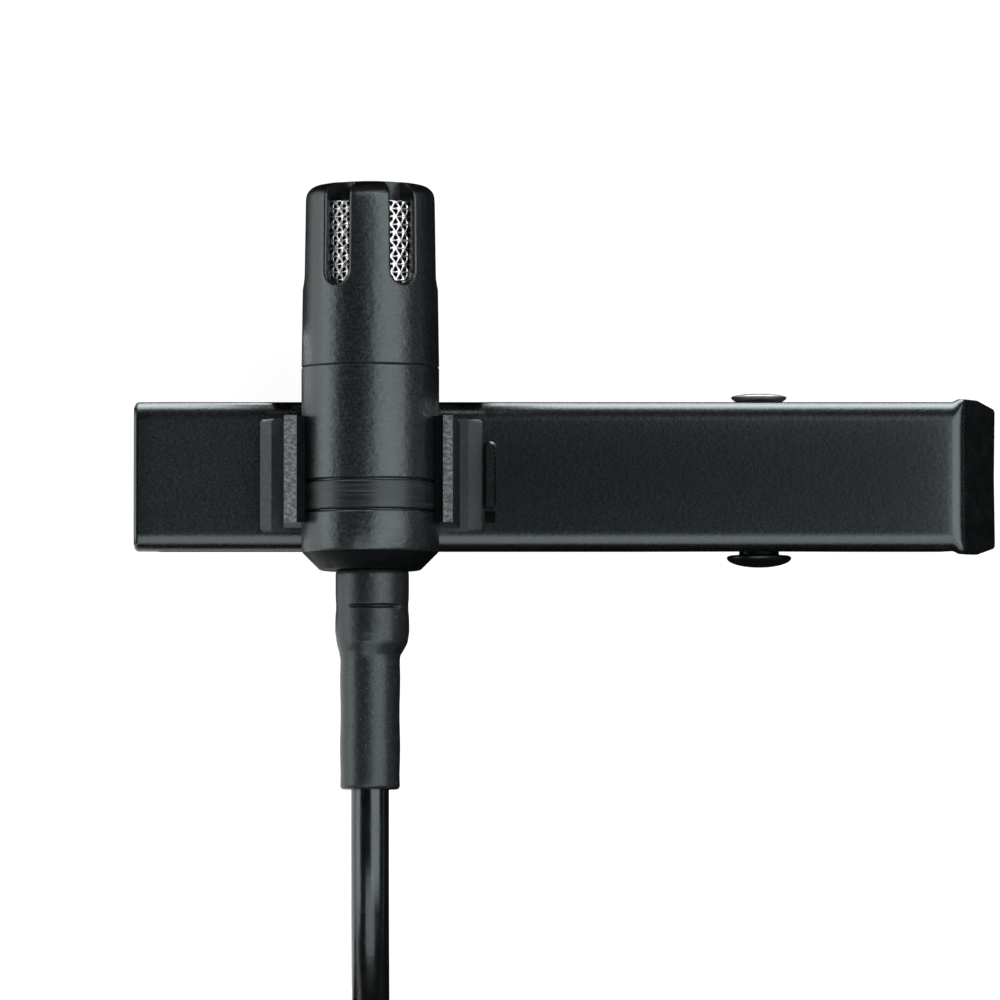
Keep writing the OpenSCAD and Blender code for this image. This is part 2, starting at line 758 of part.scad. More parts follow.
module holder() {
    plate_corner_r = 0.25;
    plate_proud = 0.2;
    color("#3a3a3c") translate([mic_x, bar_y, clip_h]) difference() {
        union() {
            linear_extrude(plate_t) rounded_plate(holder_w, holder_len, plate_corner_r);
            along_y(0, holder_len - 2 * plate_proud) holder_section();
        }
        translate([0, holder_len, axis_h]) rotate([90, 0, 0])
            cylinder(r = bore_r, h = 2 * holder_len, $fn = smooth);
        rod(rivet_d / 2 + bond_gap, -cut, axis_h);
        rod(rivet_head_r + 0.1, rivet_seat, axis_h);
    }
}

module holder_rivet() {
    color("#77777a") translate([mic_x, bar_y, clip_h]) {
        rod(rivet_head_r, rivet_seat, rivet_seat + rivet_head_t);
        rod(rivet_d / 2, -sheet_t - lap, rivet_seat + lap);
        rod(rivet_head_r, -sheet_t - rivet_tail_t, -sheet_t);
    }
}

module hinge_pin() {
    neck = bar_w / 2 + pin_seat;
    tail_t = 0.55;
    rim = 0.22;
    dome = 0.45;
    dome_r = (pow(pin_head_d / 2, 2) + pow(dome, 2)) / (2 * dome);
    color("#1a1a1c") translate([pin_x, bar_y, pin_z]) rotate([-90, 0, 0]) rotate_extrude($fn = smooth) {
        translate([0, -neck - lap]) square([pin_r, 2 * neck + 2 * lap]);
        translate([0, neck]) square([pin_tail_d / 2, tail_t]);
        intersection() {
            translate([0, dome_r - neck - rim - dome]) circle(dome_r, $fn = smooth);
            translate([0, -neck - rim - dome]) square([pin_head_d / 2, rim + dome]);
        }
    }
}

// Middle of the spring's wire: in along the lever's leg, round the pin and out along the bar's
function spring_points() =
    let (
        curls = 4.5, steps = 8, half = curls * spring_pitch / 2, leg = 7.6, leg_end = leg + 0.8,
        low = sheet_t + wire_d / 2 + leg_gap, high = clip_h - sheet_t - wire_d / 2 - leg_gap
    )
    concat(
        [[pin_x + leg_end, bar_y - half, low], [pin_x + leg, bar_y - half, low]],
        [for (i = [0:curls * steps])
            let (a = -90 - 360 * i / steps)
            [pin_x + spring_r * cos(a), bar_y - half + spring_pitch * i / steps, pin_z + spring_r * sin(a)]],
        [[pin_x + leg, bar_y + half, high], [pin_x + leg_end, bar_y + half, high]]
    );

module torsion_spring() {
    p = spring_points();
    echo(spring_self_gap_mm = least_gap(p, 5) - wire_d);
    color("#9a9a9e") tube(p, [[-1, 0, 0], [1, 0, 0]], [0, 1, 0], wire_d / 2, 6);
}

// Side view of the lever, in X and Z
module lever_side() {
    left = [pin_x - lever_ear_r - ear_run, lever_flange];
    right = [pin_x + lever_ear_r + ear_run * 0.7, lever_flange];
    lip_x = lever_tail_x - 1.6;
    slope = 0.6;
    polygon([
        [jaw_x, 0], [lever_tail_x, 0], [lever_tail_x, sheet_t], [lip_x, sheet_t],
        [lip_x - slope, lever_flange], right, touch(right, pin_at, lever_ear_r, 1),
        touch(left, pin_at, lever_ear_r, -1), left, [jaw_x, lever_flange]
    ]);
    translate(pin_at) circle(lever_ear_r, $fn = smooth);
}

// Plan of the lever: its tail's corners are round
module lever_plan() {
    tail_corner = 1.3;
    translate([jaw_x, -lever_w / 2]) square([lever_tail_x - tail_corner - jaw_x, lever_w]);
    translate([jaw_x, tail_corner - lever_w / 2])
        square([lever_tail_x - jaw_x, lever_w - 2 * tail_corner]);
    for (s = [-1, 1]) {
        translate([lever_tail_x - tail_corner, s * (lever_w / 2 - tail_corner)])
            circle(tail_corner, $fn = smooth);
    }
}

// The toothed wall folded up at the lever's tip
module jaw() {
    along_x(jaw_x, jaw_x + sheet_t) translate([bar_y, 0])
        polygon(concat([[-lever_w / 2, 0]], tooth_edge(clip_h - lip_h - jaw_gap), [[lever_w / 2, 0]]));
}

module lever() {
    grip_grooves = 4;
    groove_pitch = 1.1;
    first_groove = 2;
    grip_groove_r = 0.22;
    grip_side = 1.2;
    edge_r = sheet_t + 0.1;
    color("#0e0e10") difference() {
        union() {
            intersection() {
                along_x(jaw_x, lever_tail_x) translate([bar_y, 0]) mirror([0, 1])
                    channel_section(lever_w, clip_h, edge_r);
                along_y(bar_y, lever_w) lever_side();
                translate([0, bar_y, 0]) linear_extrude(clip_h) lever_plan();
            }
            jaw();
        }
        across(pin_x, pin_z, pin_r + pin_fit, bar_y - bar_w, bar_y + bar_w);
        for (i = [0:grip_grooves - 1]) {
            translate([lever_tail_x - first_groove - i * groove_pitch, bar_y, 0]) rotate([90, 0, 0])
                cylinder(r = grip_groove_r, h = lever_w - 2 * grip_side, center = true, $fn = smooth);
        }
    }
}

// ---- lead ----

// Share of a climb done at x, from 0 to 1, starting and ending level
function climb(x) = let (c = min(max(x, 0), 1)) c * c * (3 - 2 * c);

// Middle of the coiled cable after t turns
function coil_point(t) =
    let (
        m = t % (2 * layer_turns),
        r = coil_r - turn_pitch * (m <= layer_turns ? m : 2 * layer_turns - m),
        level = climb(2 * (t - layer_turns) + 0.5) + climb(2 * (t - 2 * layer_turns) + 0.5)
            + climb(2 * (t - 3 * layer_turns) + 0.5),
        a = 180 + 360 * t
    )
    [coil_x + r * cos(a), coil_y + r * sin(a), coil_z + level * turn_pitch];

module cord_run() {
    color("#121212") tube(run_points, [[0, -1, 0], [0, -1, 0]], [1, 0, 0], cable_r, 8);
}

module cord_coil() {
    steps = 24;
    coil_points = concat(
        [[mic_x, coil_start_y, coil_z]],
        [for (i = [0:turns * steps]) coil_point(i / steps)],
        [[mic_x, coil_end_y, coil_top_z]]
    );
    echo(coil_self_gap_mm = least_gap(coil_points, steps / 2) - cable_d);
    color("#121212") tube(coil_points, [[0, -1, 0], [0, -1, 0]], [0, 0, 1], cable_r, 6);
}

module cord_lead_out() {
    color("#121212") tube(lead_points, [[0, -1, 0], [0, 1, 0]], [0, 0, 1], cable_r, 8);
}

module coil_tie() {
    tie_angle = -60;
    side = 0.35;
    above = 0.2;
    inside_r = 1.2;
    bow = coil_inner_r - cable_r - sqrt(pow(coil_inner_r - cable_r, 2) - pow(tie_w / 2, 2));
    r_in = coil_inner_r - cable_r - bow - side;
    r_out = coil_r + cable_r + side;
    inside = [r_out - r_in, coil_top_z + cable_r + above - tie_t];
    color("#202022") translate([coil_x, coil_y, 0]) rotate([0, 0, tie_angle])
        along_y(0, tie_w) translate([(r_in + r_out) / 2, tie_t + inside[1] / 2]) difference() {
            rounded_plate(inside[0] + 2 * tie_t, inside[1] + 2 * tie_t, inside_r + tie_t);
            rounded_plate(inside[0], inside[1], inside_r);
        }
}

// ---- plug ----

module plug_boot() {
    tip_r = cable_r + 0.5;
    cone_u = grip_u - 0.4;
    slots = 4;
    slot_pitch = 1.5;
    slot_half = 0.35;
    slot_floor_r = cable_r + 0.35;
    color("#1c1c1e") on_plug_axis() difference() {
        union() {
            cylinder(r1 = tip_r, r2 = boot_root_r, h = cone_u, $fn = smooth);
            rod(boot_root_r, cone_u, boot_flange_u[1]);
            rod(boot_flange_r, boot_flange_u[0], boot_flange_u[1]);
        }
        rod(cable_r + bond_gap, -cut, grip_end_u);
        for (i = [1:slots]) {
            pipe(boot_flange_r, slot_floor_r, i * slot_pitch - slot_half, i * slot_pitch + slot_half);
        }
    }
}

module plug_barrel() {
    chamfer = 0.5;
    color("#b4b4b8") on_plug_axis() difference() {
        union() {
            translate([0, 0, grip_u])
                cylinder(r1 = barrel_r - chamfer, r2 = barrel_r, h = chamfer, $fn = smooth);
            rod(barrel_r, grip_u + chamfer, grip_end_u);
        }
        rod(boot_root_r + seat_gap, grip_u - cut, grip_u + cut);
        rod(barrel_r - barrel_t, boot_flange_u[0] - seat_gap, grip_end_u + cut);
    }
}

module plug_cable_end() {
    jacket_u = grip_u + 3;
    core_x = 0.6;
    color("#101010") on_plug_axis() {
        rod(cable_r, 0, jacket_u);
        for (s = [-1, 1]) {
            translate([s * core_x, 0, 0]) rod(core_r, jacket_u - lap, rod_end_u);
        }
    }
}

module plug_sleeve() {
    flange_t = 1.4;
    neck_gap = 0.6;
    color("#c9a64a") on_plug_axis() difference() {
        union() {
            rod(boot_flange_r, plug_flange_u, plug_flange_u + flange_t);
            rod(barrel_r - barrel_t - neck_gap, plug_flange_u + cut, grip_end_u);
            rod(shank_r, plug_flange_u + cut, shoulder_u);
            rod(plug_r, shoulder_u - cut, sleeve_end_u);
        }
        pipe(shank_r + cut, clip_groove_r, clip_u, clip_u + clip_t + seat_gap);
        rod(tube_r + liner_t, 0, plug_end_u);
    }
}

module plug_insulators() {
    washer_r = plug_r - 0.02;
    color("#202020") on_plug_axis() {
        pipe(washer_r, tube_r, sleeve_end_u, band_u);
        pipe(washer_r, rod_r, tip_u - washer_t, tip_u);
        pipe(tube_r + liner_t, tube_r, plug_flange_u, sleeve_end_u);
        pipe(tube_r - tube_t, rod_r, tube_end_u, tip_u - washer_t);
    }
}

module plug_ring() {
    color("#c9a64a") on_plug_axis() {
        pipe(plug_r, tube_r - tube_t, band_u, band_u + band_len);
        pipe(tube_r, tube_r - tube_t, tube_end_u, band_u + lap);
    }
}

module plug_tip() {
    neck_r = plug_r - 0.5;
    bulge_r = plug_r - 0.05;
    color("#c9a64a") on_plug_axis() {
        translate([0, 0, tip_u]) rotate_extrude($fn = smooth) polygon([
            [0, 0], [plug_r, 0], [plug_r, 0.2], [neck_r, 0.85], [neck_r, 1.1], [bulge_r, 1.75],
            [bulge_r, 2.0], [plug_r * 0.4, tip_len - 0.15], [plug_r * 0.28, tip_len], [0, tip_len]
        ]);
        rod(rod_r, rod_end_u, tip_u + lap);
    }
}

module locking_collar() {
    knurl_r = barrel_r - 0.1;
    knurl_end = 0.5;
    groove = 0.3;
    color("#a9a9ad") on_plug_axis() difference() {
        union() {
            rod(knurl_r, collar_u, collar_end_u);
            rod(thread_r, collar_end_u - cut, collar_end_u + thread_len);
        }
        rod(shank_r + collar_fit, collar_u - cut, collar_end_u);
        rod(thread_bore_r, collar_web_end_u, collar_end_u + thread_len + cut);
        for (i = [0:knurl_count - 1]) {
            rotate(i * 360 / knurl_count) translate([knurl_r + lap, 0, collar_u + knurl_end])
                rotate([0, 0, 45]) translate([-groove / 2, -groove / 2, 0])
                cube([groove, groove, collar_len - 2 * knurl_end]);
        }
    }
}

module collar_clip() {
    mouth = 1.2;
    color("#8a8a8e") on_plug_axis() difference() {
        pipe(clip_r, clip_groove_r + seat_gap, clip_u + bond_gap, clip_u + clip_t);
        translate([0, -mouth / 2, 0]) cube([thread_r, mouth, plug_end_u]);
    }
}

head_cap();
mesh_screen();
acoustic_felt();
capsule_seat();
capsule_can();
diaphragm();
spacer_ring();
backplate();
plate_carrier();
gate_ring();
fet_board();
board_leads();
body_barrel();
band_ring();
end_bush();
crimp_ferrule();
cable_tail();
strain_boot();
front_bar();
holder();
holder_rivet();
hinge_pin();
torsion_spring();
lever();
cord_run();
cord_coil();
coil_tie();
cord_lead_out();
plug_boot();
plug_barrel();
plug_cable_end();
plug_sleeve();
plug_insulators();
plug_ring();
plug_tip();
locking_collar();
collar_clip();
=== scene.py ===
import math
from contextlib import contextmanager

import bpy
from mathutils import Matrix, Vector


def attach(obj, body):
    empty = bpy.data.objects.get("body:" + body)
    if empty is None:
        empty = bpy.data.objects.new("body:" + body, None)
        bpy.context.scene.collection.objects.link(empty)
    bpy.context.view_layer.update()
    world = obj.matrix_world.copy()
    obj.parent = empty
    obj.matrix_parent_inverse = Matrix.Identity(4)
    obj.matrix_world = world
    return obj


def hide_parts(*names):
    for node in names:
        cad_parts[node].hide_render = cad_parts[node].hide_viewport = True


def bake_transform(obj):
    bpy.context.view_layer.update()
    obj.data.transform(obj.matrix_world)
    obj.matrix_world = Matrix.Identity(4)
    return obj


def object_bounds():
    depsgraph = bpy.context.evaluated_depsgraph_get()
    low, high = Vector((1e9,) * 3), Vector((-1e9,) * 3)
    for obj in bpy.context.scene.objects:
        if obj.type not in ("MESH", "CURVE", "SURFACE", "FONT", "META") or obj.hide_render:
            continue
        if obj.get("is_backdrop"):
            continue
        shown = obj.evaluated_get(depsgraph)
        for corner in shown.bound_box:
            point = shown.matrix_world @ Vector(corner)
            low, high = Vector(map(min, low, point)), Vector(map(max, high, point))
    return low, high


bl_info = {
    "name": "Lavalier Microphone",
    "version": (1, 0, 0),
    "blender": (4, 5, 0),
    "location": "View3D > Sidebar > Lavalier",
    "description": "Builds a clip-on microphone with its lead, locking plug and studio stage",
    "category": "Object",
}

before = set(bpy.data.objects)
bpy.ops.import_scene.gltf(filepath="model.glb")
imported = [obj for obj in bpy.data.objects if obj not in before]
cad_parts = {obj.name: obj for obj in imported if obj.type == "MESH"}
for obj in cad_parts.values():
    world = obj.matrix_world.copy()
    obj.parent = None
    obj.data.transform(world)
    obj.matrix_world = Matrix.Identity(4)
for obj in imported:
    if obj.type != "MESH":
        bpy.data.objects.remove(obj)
FRAME_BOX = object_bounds()

MM = 0.001          # one millimetre in the frame's metres; pieces are modelled in millimetres

# Places of the assembly, in millimetres
MIC = (-11.35, -4.9, 12.13)         # rear end of the microphone's body, on its axis
PLUG = (-28.5, -71.5, 3.5)          # end of the plug's boot, on its axis
PIN = (11.4, 0.9, 3.3)              # middle of the hinge pin
BAR_Y = 0.9                         # middle of the clip, across
CLIP_H = 7.2                        # height of the bar's face
TIP_X = -25.25                      # tip of both jaws
FOLD_X = 22.595                     # where the bar's end starts to bend
SHEET = 0.5                         # thickness of the clip's sheet metal
FLANGE_Z = 5.7                      # lower edge of the bar's flanges

BODY_STEPS = 144                    # steps round the microphone's turned pieces
PLUG_STEPS = 96                     # steps round the plug's and the pin's


# ---- modelling helpers -------------------------------------------------------------------

def pick(obj, *others):
    """Selects these objects only, with obj active."""
    bpy.ops.object.select_all(action="DESELECT")
    for each in (obj, *others):
        each.select_set(True)
    bpy.context.view_layer.objects.active = obj


@contextmanager
def editing(obj, select="SELECT"):
    """Edit mode on obj, with everything selected unless select says otherwise."""
    pick(obj)
    bpy.ops.object.mode_set(mode="EDIT")
    if select:
        bpy.ops.mesh.select_all(action=select)
    yield
    bpy.ops.object.mode_set(mode="OBJECT")


def arc(centre, radius, first, last, steps):
    """Points along an arc, angles in degrees."""
    turn = [math.radians(first + (last - first) * i / steps) for i in range(steps + 1)]
    return [(centre[0] + radius * math.cos(a), centre[1] + radius * math.sin(a)) for a in turn]


def rounded(middles, radius, steps):
    """A rectangle's outline with round corners, whose middles lie this far along X and Y."""
    corner = [(middles[0] + x, middles[1] + y) for x, y in arc((0, 0), radius, 0, 90, steps)]
    return [
        *corner, *[(-x, y) for x, y in reversed(corner)], *[(-x, -y) for x, y in corner],
        *[(x, -y) for x, y in reversed(corner)]
    ]


def soften(outline, radius, steps=3):
    """The same closed outline with its sharp corners rounded; corners on the axis stay."""
    out = []
    for i, corner in enumerate(outline):
        p = Vector(corner)
        back, ahead = Vector(outline[i - 1]) - p, Vector(outline[(i + 1) % len(outline)]) - p
        half = back.angle(ahead) / 2
        if abs(p.x) < 1e-6 or half > math.radians(75):
            out.append(tuple(p))
            continue
        reach = min(radius / math.tan(half), 0.45 * back.length, 0.45 * ahead.length)
        u, v = back.normalized(), ahead.normalized()
        r = reach * math.tan(half)
        centre = p + (u + v).normalized() * (r / math.sin(half))
        start, end = p + u * reach - centre, p + v * reach - centre
        for k in range(steps + 1):
            w = start.lerp(end, k / steps)
            out.append(tuple(centre + w.normalized() * r))
    return out


def draw(corners, filled=False):
    """A loop through the corners, from a circle whose points are moved to them."""
    bpy.ops.object.select_all(action="DESELECT")
    bpy.ops.mesh.primitive_circle_add(
        vertices=len(corners), radius=1, fill_type="NGON" if filled else "NOTHING"
    )
    obj = bpy.context.object
    for vertex, corner in zip(obj.data.vertices, corners):
        vertex.co = corner
    return obj


def close_up(obj):
    """Merges doubled points and turns every face outwards."""
    with editing(obj):
        bpy.ops.mesh.remove_doubles(threshold=0.0005)
        bpy.ops.mesh.normals_make_consistent(inside=False)
    return obj


def turned(outline, at, axis="Y", steps=PLUG_STEPS, radius=0.05):
    """A turned piece: a closed outline of (radius, length) pairs, spun about an axis through at."""
    x, y, z = at
    points = soften(outline, radius)
    obj = draw([(x + r, y + s, z) if axis == "Y" else (x + r, y, z + s) for r, s in points])
    n = len(points)
    inner = {i for i in range(n) if abs(points[i][0]) < 1e-6}
    for item in (*obj.data.vertices, *obj.data.edges):
        item.select = False
    for edge in obj.data.edges:
        edge.select = set(edge.vertices) <= inner
    with editing(obj, None):
        bpy.ops.mesh.select_mode(type="EDGE")
        bpy.ops.mesh.delete(type="EDGE_FACE")
        bpy.ops.mesh.select_mode(type="VERT")
        bpy.ops.mesh.select_all(action="SELECT")
        bpy.ops.mesh.spin(
            steps=steps, angle=2 * math.pi, center=at, axis=(0, 1, 0) if axis == "Y" else (0, 0, 1)
        )
    return close_up(obj)


def skin(rings, filled=True):
    """A skin drawn through rings of equally many corners, by extruding the first to the others."""
    obj = draw(rings[0], filled)
    for ring in rings[1:]:
        with editing(obj, None):
            bpy.ops.mesh.extrude_region()
        for vertex, corner in zip([v for v in obj.data.vertices if v.select], ring):
            vertex.co = corner
    return close_up(obj)


def apply(obj, kind, **settings):
    """Adds a modifier with these settings and applies it."""
    pick(obj)
    modifier = obj.modifiers.new(kind.lower(), kind)
    for key, value in settings.items():
        setattr(modifier, key, value)
    bpy.ops.object.modifier_apply(modifier=modifier.name)
    return obj


def combine(obj, tools, operation="DIFFERENCE"):
    """Cuts the tools out of obj, or joins them to it, and removes them."""
    for tool in tools:
        apply(obj, "BOOLEAN", operation=operation, object=tool, solver="EXACT")
        bpy.data.objects.remove(tool)
    return obj


def soft_edges(obj, width, segments=2, angle=40):
    """Rounds the edges that are sharper than angle."""
    apply(
        obj, "BEVEL", width=width, segments=segments, limit_method="ANGLE",
        angle_limit=math.radians(angle), use_clamp_overlap=True, miter_outer="MITER_ARC"
    )
    return obj


def line_through(points, radius, sides, resolution):
    """A round wire or cable along one smooth curve through the points."""
    bpy.ops.object.select_all(action="DESELECT")
    bpy.ops.curve.primitive_bezier_curve_add(radius=1)
    obj = bpy.context.object
    spline = obj.data.splines[0]
    spline.bezier_points.add(len(points) - len(spline.bezier_points))
    for knot, point in zip(spline.bezier_points, points):
        knot.co = point
        knot.handle_left_type = knot.handle_right_type = "AUTO"
    obj.data.dimensions = "3D"
    obj.data.resolution_u = obj.data.render_resolution_u = resolution
    obj.data.bevel_depth = radius
    obj.data.bevel_resolution = sides
    obj.data.use_fill_caps = True
    return obj


def place(obj, name, body, nodes, material=None, angle=35, flat_faces=False):
    """Brings a finished piece to the frame's metres, gives it its finish if one is given, hands it to its
    body and hides the CAD nodes it stands for.
    """
    pick(obj)
    obj.name = obj.data.name = name
    obj.scale = (MM, MM, MM)
    bpy.ops.object.transform_apply(location=True, rotation=True, scale=True)
    if obj.type == "MESH":
        bpy.ops.object.shade_smooth_by_angle(angle=math.radians(angle))
        if flat_faces:
            apply(obj, "WEIGHTED_NORMAL", keep_sharp=True, weight=80)
    if material:
        obj.data.materials.clear()
        obj.data.materials.append(material)
    if body:
        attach(obj, body)
    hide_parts(*nodes)
    return obj


# ---- materials ---------------------------------------------------------------------------

class Finish:
    """A procedural material: a principled shader and the patterns that feed it."""

    def __init__(self, name, colour, roughness, metallic=0.0, **sockets):
        self.material = bpy.data.materials.new(name)
        self.material.use_nodes = True
        self.tree = self.material.node_tree
        self.shader = self.tree.nodes["Principled BSDF"]
        values = {"Base Color": (*colour, 1), "Roughness": roughness, "Metallic": metallic}
        values.update((key.replace("_", " "), value) for key, value in sockets.items())
        for key, value in values.items():
            self.shader.inputs[key].default_value = value
        self.material.diffuse_color = (*colour, 1)
        self.height = None
        self.coordinates = self.add("ShaderNodeTexCoord").outputs["Object"]

    def add(self, kind, inputs=None, **settings):
        """A node with these inputs, each a value or another node's output."""
        node = self.tree.nodes.new(kind)
        for key, value in settings.items():
            setattr(node, key, value)
        for key, value in (inputs or {}).items():
            if isinstance(value, bpy.types.NodeSocket):
                self.tree.links.new(value, node.inputs[key])
            else:
                node.inputs[key].default_value = value
        return node

    def stretched(self, scale, at=(0, 0, 0)):
        """Object coordinates in units of 1/scale, centred on a point given in millimetres."""
        shift = tuple(-MM * p * s for p, s in zip(at, scale))
        return self.add(
            "ShaderNodeMapping", {"Vector": self.coordinates, "Scale": scale, "Location": shift}
        ).outputs[0]

    def noise(self, size, detail=2.0, stretch=(1, 1, 1), rough=0.5):
        """Noise whose blobs are about size millimetres across, longer where stretch is above 1."""
        scale = tuple(1 / (MM * size * s) for s in stretch)
        return self.add(
            "ShaderNodeTexNoise",
            {"Vector": self.stretched(scale), "Scale": 1.0, "Detail": detail, "Roughness": rough}
        ).outputs["Fac"]

    def specks(self, size, share):
        """Sparse dots, size millimetres apart, covering about this share of the surface."""
        cells = self.add(
            "ShaderNodeTexVoronoi", {"Vector": self.stretched((1 / (MM * size),) * 3), "Scale": 1.0}
        ).outputs["Distance"]
        return self.ranged(cells, share, 0.0, 0.0, 1.0)

    def ranged(self, value, from_min, from_max, to_min, to_max):
        """The value brought from one range to another, and kept inside it."""
        node = self.add("ShaderNodeMapRange", {
            "Value": value, "From Min": from_min, "From Max": from_max,
            "To Min": to_min, "To Max": to_max
        })
        return node.outputs["Result"]

    def math(self, operation, a, b=0.0):
        """Arithmetic on two numbers or outputs."""
        node = self.add("ShaderNodeMath", operation=operation)
        for socket, value in zip(node.inputs, (a, b)):
            if isinstance(value, bpy.types.NodeSocket):
                self.tree.links.new(value, socket)
            else:
                socket.default_value = value
        return node.outputs[0]

    def tint(self, factor, colour):
        """Blends the base colour towards another one where factor is high."""
        mix = self.add("ShaderNodeMix", data_type="RGBA")
        self.tree.links.new(factor, mix.inputs["Factor"])
        base = self.shader.inputs["Base Color"]
        if base.links:
            self.tree.links.new(base.links[0].from_socket, mix.inputs["A"])
        else:
            mix.inputs["A"].default_value = base.default_value
        mix.inputs["B"].default_value = (*colour, 1)
        self.tree.links.new(mix.outputs["Result"], base)
        return self

    def rough(self, factor, low, high):
        """Roughness from low to high over the middle of factor's range."""
        self.tree.links.new(
            self.ranged(factor, 0.3, 0.7, low, high), self.shader.inputs["Roughness"]
        )
        return self

    def bump(self, height, depth):
        """Adds a bump, depth millimetres high."""
        node = self.add("ShaderNodeBump", {"Height": height, "Distance": depth * MM, "Strength": 1.0})
        if self.height:
            self.tree.links.new(self.height, node.inputs["Normal"])
        self.height = node.outputs["Normal"]
        self.tree.links.new(self.height, self.shader.inputs["Normal"])
        return self


FINISHES = {}
COOL = (0.84, 0.97, 1.0, 1.0)       # the faint cool cast of the black pieces' gloss


def finish(name):
    """The named finish, made once."""
    if name not in FINISHES:
        FINISHES[name] = MAKERS[name](bpy.context.scene.lavalier_finishes)
    return FINISHES[name]


def mic_shell(look):
    """Satin black lacquer with fine turning lines, dust and a slightly uneven skin."""
    f = Finish("mic_shell", look.shell_colour, 0.36, 0.0, Specular_IOR_Level=0.82, Specular_Tint=COOL)
    lines = f.noise(0.09, 3, (14, 1, 14))
    grain = f.noise(0.16, 3, rough=0.65)
    f.rough(f.math("ADD", f.math("MULTIPLY", lines, 0.4), f.math("MULTIPLY", grain, 0.6)), 0.26, 0.44)
    f.tint(f.specks(0.36, 0.1), (0.12, 0.13, 0.135))
    f.tint(f.ranged(grain, 0.5, 0.72, 0.0, 0.6), (0.024, 0.027, 0.029))
    f.bump(f.noise(0.5, 2), 0.026)
    f.bump(f.noise(0.26, 2), 0.01)
    f.bump(lines, 0.0015)
    return f.bump(grain, 0.0045).material


def mic_band(look):
    """The ring's coarser turned lines."""
    f = Finish("mic_band", look.shell_colour, 0.4, 0.0, Specular_IOR_Level=0.58, Specular_Tint=COOL)
    lines = f.noise(0.05, 2, (60, 1, 60))
    f.rough(lines, 0.3, 0.52)
    f.tint(f.ranged(lines, 0.52, 0.66, 0.0, 0.5), (0.05, 0.051, 0.054))
    return f.bump(lines, 0.012).material


def steel_mesh(look):
    """Bright wire."""
    f = Finish("steel_mesh", look.mesh_colour, 0.28, 1.0)
    f.rough(f.noise(0.3, 2), 0.2, 0.38)
    f.tint(f.ranged(f.noise(0.5, 2), 0.55, 0.8, 0.0, 0.5), (0.5, 0.5, 0.51))
    return f.bump(f.noise(0.05, 1), 0.004).material


def felt(look):
    """Black felt."""
    f = Finish("acoustic_felt", (0.006, 0.006, 0.007), 0.97, 0.0, Specular_IOR_Level=0.1)
    hairs = f.noise(0.05, 4, (1, 4, 2), 0.7)
    f.tint(f.ranged(hairs, 0.5, 0.8, 0.0, 0.6), (0.02, 0.02, 0.022))
    return f.bump(hairs, 0.05).material


def rubber(look):
    """Matt rubber, uneven and dusty."""
    f = Finish("boot_rubber", look.rubber_colour, 0.42, 0.0, Specular_IOR_Level=0.6, Specular_Tint=COOL)
    grain = f.noise(0.14, 4, rough=0.65)
    f.rough(grain, 0.3, 0.48)
    f.tint(f.specks(0.24, 0.16), (0.17, 0.18, 0.185))
    f.bump(f.noise(0.55, 3), 0.022)
    f.tint(f.ranged(f.noise(0.3, 3), 0.5, 0.75, 0.0, 0.5), (0.022, 0.025, 0.027))
    return f.bump(grain, 0.01).material


def jacket(look):
    """The cable's glossy jacket."""
    f = Finish("cable_jacket", look.jacket_colour, 0.24, 0.0, Specular_IOR_Level=0.75, Specular_Tint=COOL)
    f.rough(f.noise(1.5, 3), 0.18, 0.3)
    f.tint(f.specks(0.7, 0.04), (0.09, 0.09, 0.095))
    return f.bump(f.noise(0.35, 2), 0.006).material


def clip_paint(look):
    """Gloss paint over sheet metal."""
    f = Finish("clip_paint", look.paint_colour, 0.3, 0.0, Specular_IOR_Level=0.85, Specular_Tint=COOL)
    peel = f.noise(0.3, 2, rough=0.5)
    grain = f.noise(0.2, 3, rough=0.6)
    f.rough(grain, 0.24, 0.29)
    f.tint(f.specks(0.5, 0.08), (0.03, 0.034, 0.036))
    f.tint(f.ranged(f.noise(0.9, 4), 0.4, 0.75, 0.0, 0.6), (0.007, 0.008, 0.0088))
    f.bump(peel, 0.006)
    return f.bump(grain, 0.0012).material


def moulded_grey(look):
    """The holder's moulded plastic."""
    f = Finish("moulded_grey", look.holder_colour, 0.5, 0.0, Specular_IOR_Level=0.6, Specular_Tint=COOL)
    grain = f.noise(0.09, 3, rough=0.6)
    f.rough(f.noise(0.2, 2), 0.42, 0.58)
    f.tint(f.ranged(f.noise(0.3, 3), 0.5, 0.75, 0.0, 0.5), (0.05, 0.056, 0.06))
    return f.bump(grain, 0.012).material


def sawn_grey(look):
    """The cut ends of the holder's walls."""
    f = Finish("sawn_grey", (0.055, 0.062, 0.066), 0.7, 0.0, Specular_IOR_Level=0.5, Specular_Tint=COOL)
    marks = f.noise(0.3, 4, (1, 0.6, 1), 0.7)
    f.tint(f.ranged(marks, 0.44, 0.64, 0.0, 0.85), (0.235, 0.255, 0.265))
    f.rough(marks, 0.5, 0.8)
    return f.bump(marks, 0.06).material


def metal(name, colour, rough, size, brushed=(1, 1, 1), bump=0.003):
    """A bare or plated metal with handling marks and fine tool lines."""
    f = Finish(name, colour, rough, 1.0)
    wear = f.noise(size, 4, rough=0.65)
    f.rough(wear, rough * 0.8, rough * 1.35)
    f.tint(f.ranged(wear, 0.55, 0.8, 0.0, 0.6), tuple(c * 0.72 for c in colour))
    return f.bump(f.noise(0.05, 2, brushed), bump).material


def plain(name, colour, rough, size, depth, mark=None, specular=0.5):
    """A moulded or painted piece with grain and slight changes of shade, mark being the other shade."""
    f = Finish(name, colour, rough, 0.0, Specular_IOR_Level=specular, Specular_Tint=COOL)
    cloud = f.noise(size * 4, 3)
    f.rough(cloud, rough * 0.85, min(1.0, rough * 1.2))
    f.tint(f.ranged(cloud, 0.45, 0.75, 0.0, 0.6), mark or tuple(c * 1.5 for c in colour))
    return f.bump(f.noise(size, 3, rough=0.6), depth).material


